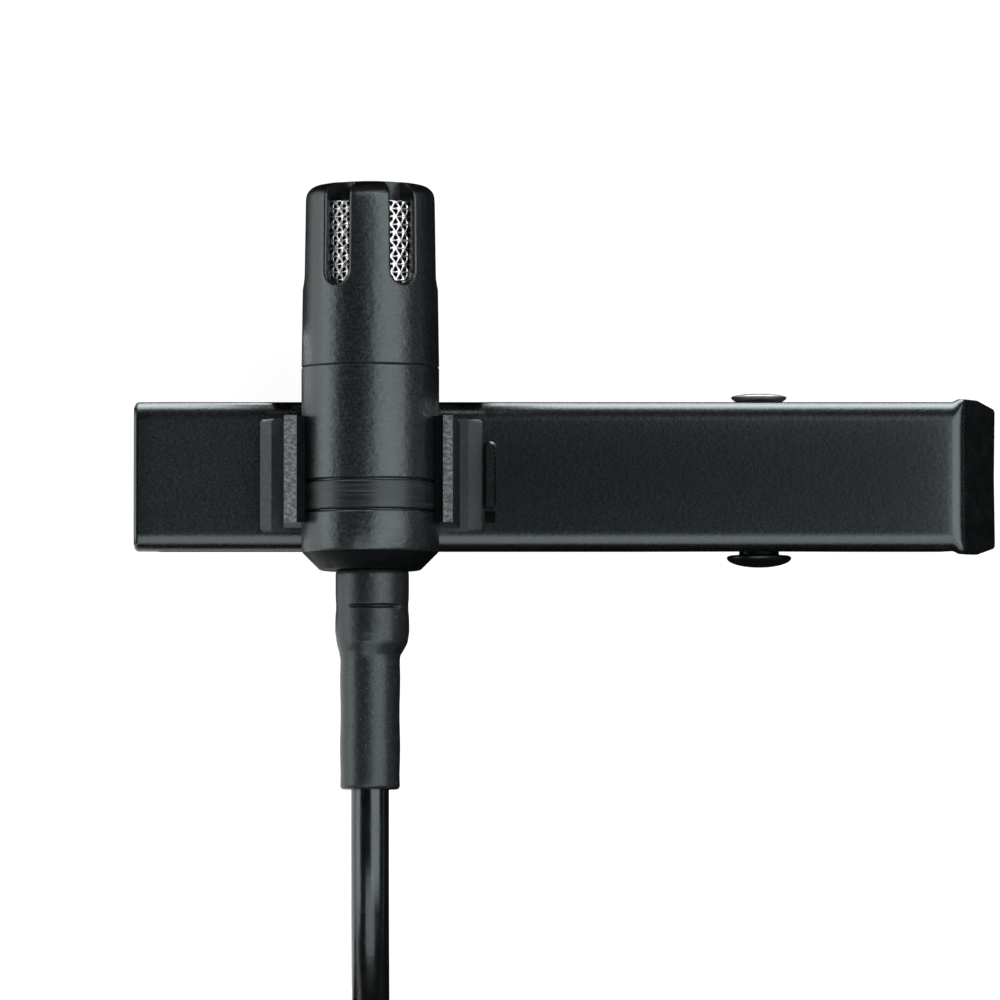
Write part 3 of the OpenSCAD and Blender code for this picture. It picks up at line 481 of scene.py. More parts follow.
def strap(look):
    """Looped tape."""
    f = Finish("tie_strap", look.tie_colour, 0.9, 0.0, Specular_IOR_Level=0.3)
    loops = f.specks(0.24, 0.42)
    f.tint(f.ranged(loops, 0.0, 1.0, 0.0, 0.8), (0.05, 0.05, 0.054))
    f.bump(loops, 0.05)
    return f.bump(f.noise(0.08, 3), 0.02).material


def board_green(look):
    """Green lacquer over the board's tracks."""
    f = Finish("board_green", (0.02, 0.13, 0.045), 0.4, 0.0, Specular_IOR_Level=0.6)
    tracks = f.add("ShaderNodeTexVoronoi", {
        "Vector": f.stretched((1 / (MM * 0.8),) * 3), "Scale": 1.0
    }, feature="DISTANCE_TO_EDGE").outputs["Distance"]
    f.tint(f.ranged(tracks, 0.04, 0.09, 0.9, 0.0), (0.05, 0.28, 0.09))
    f.rough(f.noise(0.6, 2), 0.32, 0.5)
    return f.bump(tracks, 0.02).material


MAKERS = {
    "mic_shell": mic_shell,
    "mic_band": mic_band,
    "mesh": steel_mesh,
    "felt": felt,
    "rubber": rubber,
    "jacket": jacket,
    "clip_paint": clip_paint,
    "moulded_grey": moulded_grey,
    "sawn_grey": sawn_grey,
    "strap": strap,
    "board": board_green,
    "steel": lambda look: metal("spring_steel", (0.46, 0.46, 0.47), 0.3, 0.5, (1, 6, 1), 0.004),
    "rivet": lambda look: metal("rivet_steel", (0.3, 0.3, 0.31), 0.38, 0.4),
    "nickel": lambda look: metal("nickel_plate", look.metal_colour, 0.2, 1.6, (30, 1, 30), 0.002),
    "gold": lambda look: metal("gold_plate", look.gold_colour, 0.18, 1.2, (30, 1, 30), 0.002),
    "can": lambda look: metal("capsule_nickel", (0.55, 0.55, 0.54), 0.26, 0.7),
    "brass": lambda look: metal("gate_brass", (0.62, 0.42, 0.16), 0.34, 0.5),
    "ferrule": lambda look: metal("ferrule_brass", (0.55, 0.38, 0.15), 0.36, 0.5),
    "soft_black": lambda look: plain("seat_rubber", (0.014, 0.014, 0.015), 0.75, 0.12, 0.02),
    "film": lambda look: plain("metalled_film", (0.62, 0.5, 0.2), 0.2, 0.5, 0.004, None, 1.0),
    "spacer": lambda look: plain("spacer_film", (0.32, 0.15, 0.05), 0.35, 0.3, 0.004),
    "carrier": lambda look: plain("carrier_plastic", (0.74, 0.7, 0.62), 0.5, 0.2, 0.006, (0.62, 0.58, 0.5)),
    "insulator": lambda look: plain("insulator_plastic", (0.012, 0.012, 0.013), 0.38, 0.2, 0.006),
    "wire_skin": lambda look: plain("lead_skin", (0.4, 0.03, 0.03), 0.42, 0.2, 0.006),
    "plug_rubber": lambda look: plain("plug_rubber", (0.012, 0.012, 0.013), 0.55, 0.1, 0.015),
    "pin_black": lambda look: plain("pin_black", (0.003, 0.0035, 0.004), 0.3, 0.15, 0.004, None, 0.45),
    "peened": lambda look: metal("peened_steel", (0.34, 0.34, 0.34), 0.42, 0.3),
    # A darker copy of the holder's plastic: painted shade on its lead-ins and outer flanks
    "holder_dark": lambda look: plain("holder_dark", (0.0045, 0.0055, 0.006), 0.6, 0.15, 0.012, None, 0.2),
    # A darker, duller copy of the shell: painted shade on the rear bush's chamfer
    "shell_flat": lambda look: plain("shell_flat", (0.002, 0.0024, 0.0026), 0.5, 0.2, 0.006, None, 0.12),
}

# What stays as it is in the frame: its finish and its slot
CARRIED = {
    "capsule_seat": ("soft_black", "soft_black"),
    "capsule_can": ("can", "can"),
    "diaphragm": ("film", "film"),
    "spacer_ring": ("spacer", "spacer"),
    "backplate": ("brass", "gold"),
    "plate_carrier": ("carrier", "insulator"),
    "gate_ring": ("brass", "gold"),
    "fet_board": ("board", "board"),
    "board_leads": ("wire_skin", "wire_skin"),
    "crimp_ferrule": ("ferrule", "gold"),
    "cable_tail": ("jacket", "jacket"),
    "plug_cable_end": ("jacket", "jacket"),
    "plug_insulators": ("insulator", "insulator"),
    "collar_clip": ("steel", "steel"),
}


# ---- settings ----------------------------------------------------------------------------

def size(label, about, default):
    """A length in metres."""
    return bpy.props.FloatProperty(
        name=label, description=about, default=default, min=0, precision=5,
        subtype="DISTANCE", unit="LENGTH"
    )


def shade(label, about, default):
    """A colour."""
    return bpy.props.FloatVectorProperty(
        name=label, description=about, default=default, min=0, max=1, size=3, subtype="COLOR"
    )


class LavalierSizes(bpy.types.PropertyGroup):
    """Sizes of the pieces."""
    body_diameter: size("Body diameter", "Diameter of the microphone's metal body", 0.008)
    cap_taper: size("Cap taper", "How much less the cap's radius is at its front", 0.00016)
    slot_width: size("Slot width", "Clear width of a sound slot", 0.0015)
    mesh_row: size("Mesh row", "Distance between rows of the mesh", 0.00046)
    mesh_wire: size("Mesh wire", "Thickness of the mesh's wires", 0.00018)
    cable_diameter: size("Cable diameter", "Diameter of the cable", 0.0022)
    spring_wire: size("Spring wire", "Diameter of the spring's wire", 0.0006)
    thread_pitch: size("Thread pitch", "Pitch of the locking thread", 0.0005)
    mesh_columns: bpy.props.IntProperty(
        name="Mesh columns", description="Cells round the mesh", default=33, min=12, max=60
    )
    teeth: bpy.props.IntProperty(
        name="Teeth", description="Teeth in each jaw", default=6, min=4, max=8
    )
    knurls: bpy.props.IntProperty(
        name="Knurls", description="Grooves in the collar's knurl", default=24, min=12, max=40
    )


class LavalierFinishes(bpy.types.PropertyGroup):
    """Colours of the outer pieces."""
    shell_colour: shade("Microphone", "Satin black of the microphone", (0.0052, 0.0062, 0.0066))
    mesh_colour: shade("Mesh", "Bright wire of the mesh", (0.68, 0.68, 0.69))
    rubber_colour: shade("Rubber", "Black rubber of the boot", (0.0075, 0.009, 0.0095))
    jacket_colour: shade("Jacket", "Glossy black of the cable", (0.0035, 0.004, 0.0043))
    paint_colour: shade("Clip paint", "Gloss black of the clip", (0.002, 0.0025, 0.0028))
    holder_colour: shade("Holder", "Dark grey of the moulded holder", (0.023, 0.0265, 0.028))
    tie_colour: shade("Tie", "Black of the strap round the coil", (0.018, 0.018, 0.02))
    metal_colour: shade("Plug metal", "Plating of the plug's barrel and collar", (0.6, 0.59, 0.57))
    gold_colour: shade("Contacts", "Plating of the plug's contacts", (0.86, 0.62, 0.27))


class LavalierStage(bpy.types.PropertyGroup):
    """The camera, the floor and the lights."""
    lens: bpy.props.FloatProperty(
        name="Lens", description="Focal length in millimetres", default=431, min=50, max=1000
    )
    camera_distance: size("Camera distance", "From the camera to the clip", 0.7)
    floor_glow: bpy.props.FloatProperty(
        name="Floor glow", description="How white the floor is in shadow, 1 for pure white",
        default=0.9, min=0, max=1, subtype="FACTOR"
    )
    left_light: bpy.props.FloatProperty(
        name="Left light", description="Brightness of the low light at the left", default=2.9, min=0
    )
    right_light: bpy.props.FloatProperty(
        name="Right light", description="Brightness of the high light at the right", default=2.6, min=0
    )
    back_light: bpy.props.FloatProperty(
        name="Back light", description="Brightness of the low light ahead of the cap", default=7.5, min=0
    )
    front_light: bpy.props.FloatProperty(
        name="Front light", description="Brightness of the light over the cable", default=2.0, min=0
    )
    edge_light: bpy.props.FloatProperty(
        name="Edge light", description="Brightness of the low strips behind the clip", default=6, min=0
    )


# ---- stage -------------------------------------------------------------------------------

def matte(name, grey, cover=1.0):
    """A material with no gloss, and its shader."""
    material = bpy.data.materials.new(name)
    material.use_nodes = True
    shader = material.node_tree.nodes["Principled BSDF"]
    shader.inputs["Base Color"].default_value = (grey, grey, grey, 1)
    shader.inputs["Roughness"].default_value = 1.0
    shader.inputs["Specular IOR Level"].default_value = 0.0
    shader.inputs["Alpha"].default_value = cover
    return material, shader


def seen_rays(tree):
    """1 for the rays that the camera sees by: straight ones, reflections and those through glass."""
    rays = tree.nodes.new("ShaderNodeLightPath")
    seen = rays.outputs["Is Camera Ray"]
    for kind in ("Is Glossy Ray", "Is Transmission Ray"):
        either = tree.nodes.new("ShaderNodeMath")
        either.operation = "MAXIMUM"
        tree.links.new(seen, either.inputs[0])
        tree.links.new(rays.outputs[kind], either.inputs[1])
        seen = either.outputs[0]
    return seen


def glow_material(name, floor_glow):
    """White to the camera and in reflections; it also takes light, so it keeps the shadow."""
    material, shader = matte(name, FLOOR_GREY)
    tree = material.node_tree
    out = tree.nodes["Material Output"]
    strength = tree.nodes.new("ShaderNodeMath")
    strength.operation = "MULTIPLY"
    tree.links.new(seen_rays(tree), strength.inputs[0])
    strength.inputs[1].default_value = floor_glow
    glow = tree.nodes.new("ShaderNodeEmission")
    tree.links.new(strength.outputs[0], glow.inputs["Strength"])
    both = tree.nodes.new("ShaderNodeAddShader")
    tree.links.new(shader.outputs[0], both.inputs[0])
    tree.links.new(glow.outputs[0], both.inputs[1])
    tree.links.new(both.outputs[0], out.inputs["Surface"])
    return material


def white_world(level):
    """White to the camera and in reflections, and a faint fill for the rest."""
    world = bpy.data.worlds.new("studio")
    bpy.context.scene.world = world
    world.use_nodes = True
    tree = world.node_tree
    back = tree.nodes["Background"]
    back.inputs["Color"].default_value = (1, 1, 1, 1)
    lift = tree.nodes.new("ShaderNodeMapRange")
    tree.links.new(seen_rays(tree), lift.inputs["Value"])
    lift.inputs["To Min"].default_value = level
    lift.inputs["To Max"].default_value = 1.0
    tree.links.new(lift.outputs["Result"], back.inputs["Strength"])


def black_card(name, obj, shades=False, cover=1.0):
    """Turns obj into a dark surround that reflections see, or that also shades the lights."""
    obj.name = obj.data.name = name
    obj.data.materials.append(matte(name, CARD_GREY, cover)[0])
    obj.visible_camera = obj.visible_diffuse = obj.visible_transmission = False
    obj.visible_shadow = shades
    obj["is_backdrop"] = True


def card(low, high):
    """A plane between two corners, in millimetres, that share one coordinate."""
    middle = [(a + b) / 2 * MM for a, b in zip(low, high)]
    thin = [b - a for a, b in zip(low, high)].index(0)
    turn = {0: (0, math.radians(90), 0), 1: (math.radians(90), 0, 0), 2: (0, 0, 0)}[thin]
    bpy.ops.mesh.primitive_plane_add(size=MM, location=middle, rotation=turn)
    bpy.ops.object.transform_apply(location=False, rotation=True, scale=False)
    obj = bpy.context.object
    obj.scale = [b - a or 1 for a, b in zip(low, high)]
    bpy.ops.object.transform_apply(location=False, rotation=False, scale=True)
    return obj


def area_light(name, at, turn, width, height, radiance):
    """A rectangular light in metres, as bright all over as radiance says."""
    bpy.ops.object.light_add(type="AREA", location=at, rotation=turn)
    light = bpy.context.object
    light.name = light.data.name = name
    light.data.shape = "RECTANGLE"
    light.data.size, light.data.size_y = width, height
    light.data.energy = radiance * math.pi * width * height
    light.visible_camera = False
    return light


def edge_light(name, x0, x1, y, z0, z1, tilt, radiance):
    """A strip close behind the clip that only gloss sees; tilt lowers its right end."""
    at = ((x0 + x1) / 2 * MM, y * MM, (z0 + z1) / 2 * MM)
    turn = (math.radians(-90), math.radians(tilt), 0)
    light = area_light(name, at, turn, (x1 - x0) * MM, (z1 - z0) * MM, radiance)
    light.visible_diffuse = False


def soft_light(name, azimuth, elevation, distance, width, height, radiance):
    """A soft box facing the clip; azimuth 0 is +X and 90 is +Y."""
    a, e = math.radians(azimuth), math.radians(elevation)
    aim = Vector((MIC[0] * MM, BAR_Y * MM, 0.01))
    out = Vector((math.cos(a) * math.cos(e), math.sin(a) * math.cos(e), math.sin(e)))
    turn = out.to_track_quat("Z", "Y").to_euler()
    area_light(name, aim + out * distance, turn, width, height, radiance)


CAMERA_AIM = (-3.82, -0.5, 7.0)     # point that the camera looks at, in millimetres
CAMERA_ELEVATION = 86.7             # degrees above the surface

# What surrounds the object, in millimetres. Cards on the floor that only reflections see:
# name, x from and to, y from and to
FLOOR_CARDS = (
    ("dark_card", -24, 200, -8, 60),
    ("side_card", -33, -24, 9, 60),
    ("cable_card", -11, 200, -31, -8),
    ("tail_card", -50, 200, -150, -31),
)
CARD_Z = 0.3
# Flags that also shade the lights: name, two corners, share of the light that is held back
FLAGS = (
    ("cap_flag", (-19.5, 20.5, 0), (-2, 20.5, 22), 1.0),
    ("bar_net", (-4.6, -4.5, 16.5), (23.4, 5.5, 16.5), 0.66),
    ("strip_flag", (-17.2, 5.5, 3), (-17.2, 10, 10), 1.0),
    ("strip_flag", (-4.8, 5.5, 3), (-4.8, 10, 14), 1.0),
)
# Low strips: name, x from and to, y, z from and to, tilt in degrees
STRIPS = (
    ("edge_strip_left", -27, -17.3, 9.5, 3.8, 6.9, 9),
    ("edge_strip_right", -4.5, 25, 9.5, 4, 7.3, 0),
    ("cap_strip", -15, -5, 21, 23, 26, 0),
)
# Soft boxes: side, azimuth and elevation in degrees, distance, width and height in metres
SOFT_BOXES = (
    ("left", 180, 13, 0.5, 0.5, 0.23),
    ("right", 0, 56, 0.5, 0.5, 0.5),
    ("back", 90, 12, 0.5, 0.6, 0.24),
    ("front", 270, 52, 0.55, 0.5, 0.36),
)
FLOOR_SIZE, DOME_R, DOME_Z = 6, 0.9, 0.002     # in metres; the dome starts just above the floor
FILL = 0.05                         # the world's light on the pieces, 1 for as white as it looks
FLOOR_GREY, CARD_GREY = 0.3, 0.01   # how light the floor's own surface and the cards are


def make_camera(stage):
    """The camera, almost straight above the clip."""
    tilt = math.radians(CAMERA_ELEVATION)
    back = Vector((0, -math.cos(tilt), math.sin(tilt)))
    aim = Vector(CAMERA_AIM) * MM
    bpy.ops.object.camera_add(location=aim + back * stage.camera_distance)
    camera = bpy.context.object
    camera.name = "camera"
    camera.rotation_euler = back.to_track_quat("Z", "Y").to_euler()
    camera.data.lens, camera.data.sensor_width = stage.lens, 36
    camera.data.clip_start, camera.data.clip_end = 0.01, 20
    bpy.context.scene.camera = camera
    bpy.context.scene.view_settings.view_transform = "Standard"


def make_stage(stage):
    """The camera, the floor, the dark surround and the lights."""
    make_camera(stage)
    white_world(FILL)
    bpy.ops.mesh.primitive_plane_add(size=FLOOR_SIZE, location=(0, 0, 0))
    floor = bpy.context.object
    floor.name = floor.data.name = "studio_floor"
    floor.data.materials.append(glow_material("studio_floor", stage.floor_glow))
    floor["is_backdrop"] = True
    bpy.ops.mesh.primitive_uv_sphere_add(segments=32, ring_count=16, radius=DOME_R, location=(0, 0, 0))
    dome = bpy.context.object
    with editing(dome):
        bpy.ops.mesh.bisect(plane_co=(0, 0, DOME_Z), plane_no=(0, 0, 1), clear_inner=True)
    black_card("dark_walls", dome)
    for name, x0, x1, y0, y1 in FLOOR_CARDS:
        black_card(name, card((x0, y0, CARD_Z), (x1, y1, CARD_Z)))
    for name, low, high, cover in FLAGS:
        black_card(name, card(low, high), True, cover)
    for name, *box in STRIPS:
        edge_light(name, *box, stage.edge_light)
    for side, *box in SOFT_BOXES:
        soft_light(side + "_softbox", *box, getattr(stage, side + "_light"))


# ---- lead --------------------------------------------------------------------------------

CABLE_R = 1.1
RUN_START_Y = -17.6                 # where the cable leaves the boot
COIL_R = 17.2                       # radius of the coil's outer turns
COIL_X, COIL_Y, COIL_Z = MIC[0] + COIL_R, -51.0, 1.7
TURN_PITCH = 2.65                   # from one turn to the next, and from one layer to the next
LAYER_TURNS, TURNS = 3.5, 14
COIL_TOP = COIL_Z + 3 * TURN_PITCH
TURN_POINTS = 16

# The cable from the boot down to the coil, as (y, z) from its start, and from the coil's top to
# the plug, as (x, y, z) from the coil's left side
RUN_ROUTE = [
    (0, 12.13), (-2.5, 12.13), (-5, 11.9), (-7.5, 11.2), (-10, 10), (-12.5, 8.3), (-15, 6.5),
    (-17.5, 4.7), (-20, 3.2), (-22.5, 2.1), (-24.5, 1.5), (-26.5, 1.5)
]
LEAD_ROUTE = [
    (0, -3, COIL_TOP), (0, -6, 9.6), (0, -9, 9.2), (0, -12, 8.3), (0, -15, 7), (0, -18, 5.4),
    (0, -21, 3.8), (0, -24, 2.4), (0, -26.5, 1.6), (-0.65, -29.8, 1.2), (-2.5, -32.5, 1.1),
    (-5.3, -34.4, 1.1), (-8.6, -35.1, 1.1), (-11.9, -34.4, 1.1), (-14.7, -32.5, 1.1), (-16.5, -29.8, 1.4),
    (-17.15, -26.5, 2.1), (-17.15, -24.3, 2.9)
]


def climb(x):
    """A smooth step from 0 to 1."""
    c = min(max(x, 0), 1)
    return c * c * (3 - 2 * c)


def coil_point(t):
    """Middle of the coiled cable after t turns."""
    m = t % (2 * LAYER_TURNS)
    r = COIL_R - TURN_PITCH * min(m, 2 * LAYER_TURNS - m)
    level = sum(climb(2 * (t - k * LAYER_TURNS) + 0.5) for k in (1, 2, 3))
    a = math.pi + 2 * math.pi * t
    return (COIL_X + r * math.cos(a), COIL_Y + r * math.sin(a), COIL_Z + level * TURN_PITCH)


def lead_points():
    """The whole cable's middle line, straight for a short way at the coil's ends and the plug."""
    straight = 2 * CABLE_R
    run = [(MIC[0], RUN_START_Y + dy, z) for dy, z in RUN_ROUTE]
    run.append((MIC[0], COIL_Y + straight, COIL_Z))
    coil = [coil_point(i / TURN_POINTS) for i in range(TURNS * TURN_POINTS + 1)]
    out = [(MIC[0], COIL_Y - straight, COIL_TOP)]
    out += [(MIC[0] + dx, COIL_Y + dy, z) for dx, dy, z in LEAD_ROUTE]
    return run + coil + out + [(PLUG[0], PLUG[1] - straight, PLUG[2]), PLUG]


def make_lead():
    """The cable, one curve from the microphone's boot to the plug."""
    points = lead_points()
    cord = line_through(points, CABLE_R, 6, 4)
    nodes = ("cord_run", "cord_coil", "cord_lead_out")
    place(cord, "lead", "microphone", nodes, finish("jacket"))
    length = sum((Vector(b) - Vector(a)).length for a, b in zip(points, points[1:])) * MM
    tuple(c * MM for c in points[0])


def make_tie():
    """A strap round the coil whose end laps over its start."""
    angle, width, thick, corner = math.radians(-60), 5.0, 0.4, 1.4
    r_in, r_out = 6.47, 18.65           # the coil's own section, which the strap closes round
    over, rise = 0.42, 1.2              # the lapped end stands out and runs up by this much
    low, high = thick / 2, 11.35 - thick / 2 - over
    middle, half_w = (r_in + r_out) / 2, (r_out - r_in) / 2 + thick / 2
    loop = []
    for sx, sz, start in ((1, 1, 0), (-1, 1, 90), (-1, -1, 180), (1, -1, 270)):
        half_h = (high - low) / 2 - corner
        centre = (middle + sx * (half_w - corner), (low + high) / 2 + sz * half_h)
        loop += arc(centre, corner, start, start + 90, 8)
    start = (loop[-1][0], (low + high) / 2)
    lap = [start, *loop, start]
    lap += [(start[0] + over * (i / 3), start[1] + rise * i) for i in (1, 2)]
    rings = []
    for i, (x, z) in enumerate(lap):
        ahead = Vector(lap[min(i + 1, len(lap) - 1)]) - Vector(lap[max(i - 1, 0)])
        out = Vector((ahead.y, -ahead.x)).normalized()
        ring = []
        for side, depth in ((-1, -1), (1, -1), (1, 1), (-1, 1)):
            rho, h = x + out.x * depth * thick / 2, z + out.y * depth * thick / 2
            across = side * width / 2
            ring.append((
                COIL_X + rho * math.cos(angle) - across * math.sin(angle),
                COIL_Y + rho * math.sin(angle) + across * math.cos(angle),
                h
            ))
        rings.append(ring)
    tie = skin(rings)
    soft_edges(tie, 0.12, 2, 50)
    return place(tie, "coil_strap", "microphone", ("coil_tie",), finish("strap"))


# ---- microphone --------------------------------------------------------------------------

# Sizes of the microphone, and places along it from the body's rear end
GROOVE_W = 0.12                     # width of the two grooves
BAND_S = (3.44, 5.08)               # ends of the ring between the grooves
CAP_S, CAP_END, SLOT_S = 11.8, 22.5, 16.5      # seam, front and slots' ends
MESH_S = (14.0, 21.3)               # rear and front of the mesh
EDGE = 0.07                         # chamfer at the seams
SOCKET_R = 3.35                     # bore of the cap and the ring
MESH_R = 3.24
FRONT_WALL = 1.1                    # thickness of the cap's front

# The shoulder's profile: how far in from the cap's side, and how far behind its front
SHOULDER = [
    (0, 1.1), (0.006, 0.98), (0.018, 0.85), (0.046, 0.72), (0.095, 0.6), (0.165, 0.49),
    (0.265, 0.38), (0.395, 0.28), (0.55, 0.2), (0.8, 0.12), (1.1, 0.06), (1.45, 0.02), (1.75, 0)
]
# The slots' rim: how far below the surface, and how much wider than the slot, in rim widths.
# The first row is the slot's floor, and the last stands clear above the surface.
RIM = ((None, 0), (1, 0), (0.63, 0.073), (0.29, 0.29), (0.073, 0.63), (-0.35, 2.8), (-5.0, 2.8))
RIM_WIDTH, SLOT_FLOOR = 0.2, 2.1


def cap_radius(s, r, taper):
    """Radius of the cap's outside, s ahead of the body's rear end."""
    side, behind = r - taper * (s - CAP_S) / (CAP_END - CAP_S), CAP_END - s
    for (inset, low), (more, high) in zip(SHOULDER, SHOULDER[1:]):
        if low >= behind >= high:
            return side - inset - (more - inset) * (low - behind) / (low - high)
    return side if behind > FRONT_WALL else 0.0


def slot_cutters(half, outside):
    """Six cutters for round-ended slots of this half width, with rounded rims."""
    end = SLOT_S + half
    straight = [CAP_END + FRONT_WALL, CAP_END]
    straight += [CAP_END - behind for _, behind in reversed(SHOULDER[:9])]
    straight += [end + k * 0.9 for k in range(4, 0, -1)]
    rings = []
    for below, grow in RIM:
        wide = half + grow * RIM_WIDTH
        outline = [
            *[(-wide, s) for s in straight], *arc((0, end), wide, 180, 360, 16),
            *[(wide, s) for s in reversed(straight)]
        ]
        rings.append([(
            x, s, SLOT_FLOOR if below is None else
            math.sqrt(max(MESH_R - 0.04, outside(s)) ** 2 - x ** 2) - below * RIM_WIDTH
        ) for x, s in outline])
    for k in range(6):
        a = math.radians(30 + 60 * k)
        out, side = Vector((math.sin(a), 0, math.cos(a))), Vector((math.cos(a), 0, -math.sin(a)))
        yield skin([
            [tuple(Vector(MIC) + out * depth + side * x + Vector((0, s, 0))) for x, s, depth in ring]
            for ring in rings
        ])


def make_cap(sizes):
    """The tapered cap with its six open sound slots."""
    r, taper = sizes.body_diameter / MM / 2, sizes.cap_taper / MM

    def outside(s):
        return cap_radius(s, r, taper)

    side = [(outside(s), s) for s in [CAP_S + 1.5 * k for k in range(1, 7)]]
    shoulder = [(outside(CAP_END - behind), CAP_END - behind) for _, behind in SHOULDER]
    cap = turned([
        (SOCKET_R, CAP_S), (r - EDGE, CAP_S), (r, CAP_S + EDGE), *side, *shoulder, (0, CAP_END),
        (0, CAP_END - FRONT_WALL), (SOCKET_R, CAP_END - FRONT_WALL)
    ], MIC, steps=BODY_STEPS, radius=0.0)
    combine(cap, list(slot_cutters(sizes.slot_width / MM / 2, outside)))
    soft_edges(cap, 0.03, 2, 60)
    return place(cap, "cap", "microphone", ("head_cap",), finish("mic_shell"), 40, True)


def make_mesh(sizes):
    """A round lattice of three-way wires behind the slots."""
    row, n = sizes.mesh_row / MM, sizes.mesh_columns
    rows = int((MESH_S[1] - MESH_S[0]) / row)
    rings = []
    for k in range(rows + 1):
        turns = [(i + 0.5 * (k % 2)) / n for i in range(n)]
        rings.append([
            (
                MIC[0] + MESH_R * math.sin(2 * math.pi * t), MIC[1] + MESH_S[1] - (rows - k) * row,
                MIC[2] + MESH_R * math.cos(2 * math.pi * t)
            ) for t in turns
        ])
    mesh = skin(rings, False)
    with editing(mesh):
        bpy.ops.mesh.quads_convert_to_tris(quad_method="SHORTEST_DIAGONAL")
    thickness = sizes.mesh_wire / MM
    apply(mesh, "WIREFRAME", thickness=thickness, use_even_offset=False, use_boundary=True)
    apply(mesh, "SUBSURF", levels=1, render_levels=1)
    return place(mesh, "cap_mesh", "microphone", ("mesh_screen",), finish("mesh"), 70)


def make_felt():
    """A felt cup that lines the mesh."""
    outline = [
        (0, 16.3), (3.05, 16.3), (3.1, 16.5), (3.1, 21.1), (2.95, 21.2), (2.7, 21.15), (2.6, 20.9),
        (2.6, 16.9), (2.5, 16.8), (0, 16.8)
    ]
    cup = turned(outline, MIC, steps=72, radius=0.1)
    return place(cup, "felt_liner", "microphone", ("acoustic_felt",), finish("felt"), 50)


def make_body(sizes):
    """The barrel, the ring between its two grooves, and the rear bush with its tail."""
    r = sizes.body_diameter / MM / 2
    bore, spigot, groove = 2.62, 3.32, 3.78        # radii inside the shell
    front = BAND_S[1] + GROOVE_W
    rear = BAND_S[0] - GROOVE_W
    barrel = turned([
        (bore, 2.02), (spigot, 2.02), (spigot, BAND_S[1]), (groove, BAND_S[1]), (groove, front),
        (r - EDGE, front), (r, front + EDGE), (r, CAP_S - EDGE), (r - EDGE, CAP_S), (spigot, CAP_S),
        (spigot, 13.3), (bore, 13.3)
    ], MIC, steps=BODY_STEPS, radius=0.04)
    place(barrel, "barrel", "microphone", ("body_barrel",), finish("mic_shell"))
    band = turned([
        (SOCKET_R, BAND_S[0]), (r - EDGE, BAND_S[0]), (r, BAND_S[0] + EDGE), (r, BAND_S[1] - EDGE),
        (r - EDGE, BAND_S[1]), (SOCKET_R, BAND_S[1])
    ], MIC, steps=BODY_STEPS, radius=0.04)
    place(band, "band", "microphone", ("band_ring",), finish("mic_band"))
    bush = turned([
        (1.15, -3.4), (1.6, -3.4), (1.6, -3.1), (1.72, -2.6), (1.6, -2.6), (1.6, 0.02), (2.84, 0.02),
        (2.96, 0.06), (3.93, 1.03), (r, 1.16), (r, rear - EDGE), (r - EDGE, rear), (groove, rear),
        (groove, BAND_S[0]), (SOCKET_R, BAND_S[0]), (SOCKET_R, 2.02), (1.15, 2.02)
    ], MIC, steps=BODY_STEPS, radius=0.04)
    # The rear chamfer and the faces behind it take painted shade, a darker and duller copy of the shell
    for name in ("mic_shell", "shell_flat"):
        bush.data.materials.append(finish(name))
    chamfer_end = MIC[1] + 1.05
    for face in bush.data.polygons:
        face.material_index = int(face.center.y < chamfer_end)
    place(bush, "rear_bush", "microphone", ("end_bush",))


def make_boot():
    """The rubber strain boot, pinched across its front where it is bonded to the tail."""
    outer = [(2.06, -0.02), (2.11, -0.07), (2.13, -0.3), (2.13, -0.8), (2.13, -1.3), (2.12, -1.7)]
    outer += [(2.1, -1.9 - 0.04 * k) for k in range(12)]
    outer += [(2.12, -2.5), (2.14, -2.8), (2.15, -3.2), (2.15, -3.55), (2.11, -3.85)]
    low_r, bore_r = 1.73, 1.15
    step = [
        (low_r + 0.36 * (1 + math.cos(math.radians(a))) / 2, -3.95 - 1.25 * a / 180)
        for a in range(0, 181, 15)
    ]
    rest = [(low_r + 0.02 * math.sin(k * 1.3), -5.4 - k * 0.8) for k in range(9)]
    end = [(low_r, -12.5), (1.69, -12.63), (1.6, -12.69), (bore_r, -12.7)]
    bore = [(bore_r, -3.55), (1.75, -3.5), (1.75, -0.02)]
    boot = turned([*outer, *step, *rest, *end, *bore], MIC, steps=BODY_STEPS, radius=0.0)
    crease_s, panel_s, bulge_end = -2.12, -2.75, -5.2
    for vertex in boot.data.vertices:
        x, s, z = vertex.co.x - MIC[0], vertex.co.y - MIC[1], vertex.co.z - MIC[2]
        r = math.hypot(x, z)
        if r < low_r - 0.05:
            continue
        reach = climb((1.55 - abs(x - 0.2)) / 0.3)
        dent = 0.26 * math.exp(-((s - crease_s) / 0.075) ** 2) * reach
        panel = 0.05 * math.exp(-((s - panel_s) / 0.5) ** 4) * max(0.0, z / r) ** 2
        scale = 1 - (dent + panel) / r
        aside = 0.12 * climb((s - bulge_end) / 1.2) if r > 1.8 else 0
        vertex.co.x, vertex.co.z = MIC[0] + x * scale + aside, MIC[2] + z * scale
    return place(boot, "boot", "microphone", ("strain_boot",), finish("rubber"), 60)


# ---- clip --------------------------------------------------------------------------------

BAR_HALF, LEVER_HALF = 4.375, 3.725            # half the width of the bar and of the lever
BAR_EAR_R, LEVER_EAR_R = 2.0, 1.9              # radius of their ears round the pin
FLANGE_DEPTH = CLIP_H - FLANGE_Z               # depth of the bar's flanges below its face
EAR_RUN = (5.3, 3.71)                          # length of an ear's slopes, towards the tip and the tail
FOLD_R, FOLD_STEPS, TAB_TILT = 1.0, 8, 55      # the bar's bent end
# Places along the bent end, and how much wider than the bar it is there
TAB = ((0.4, 0.16), (1.0, 0.16), (1.5, 0.15), (2.3, -0.04), (3.0, -0.21), (3.2, -0.26))


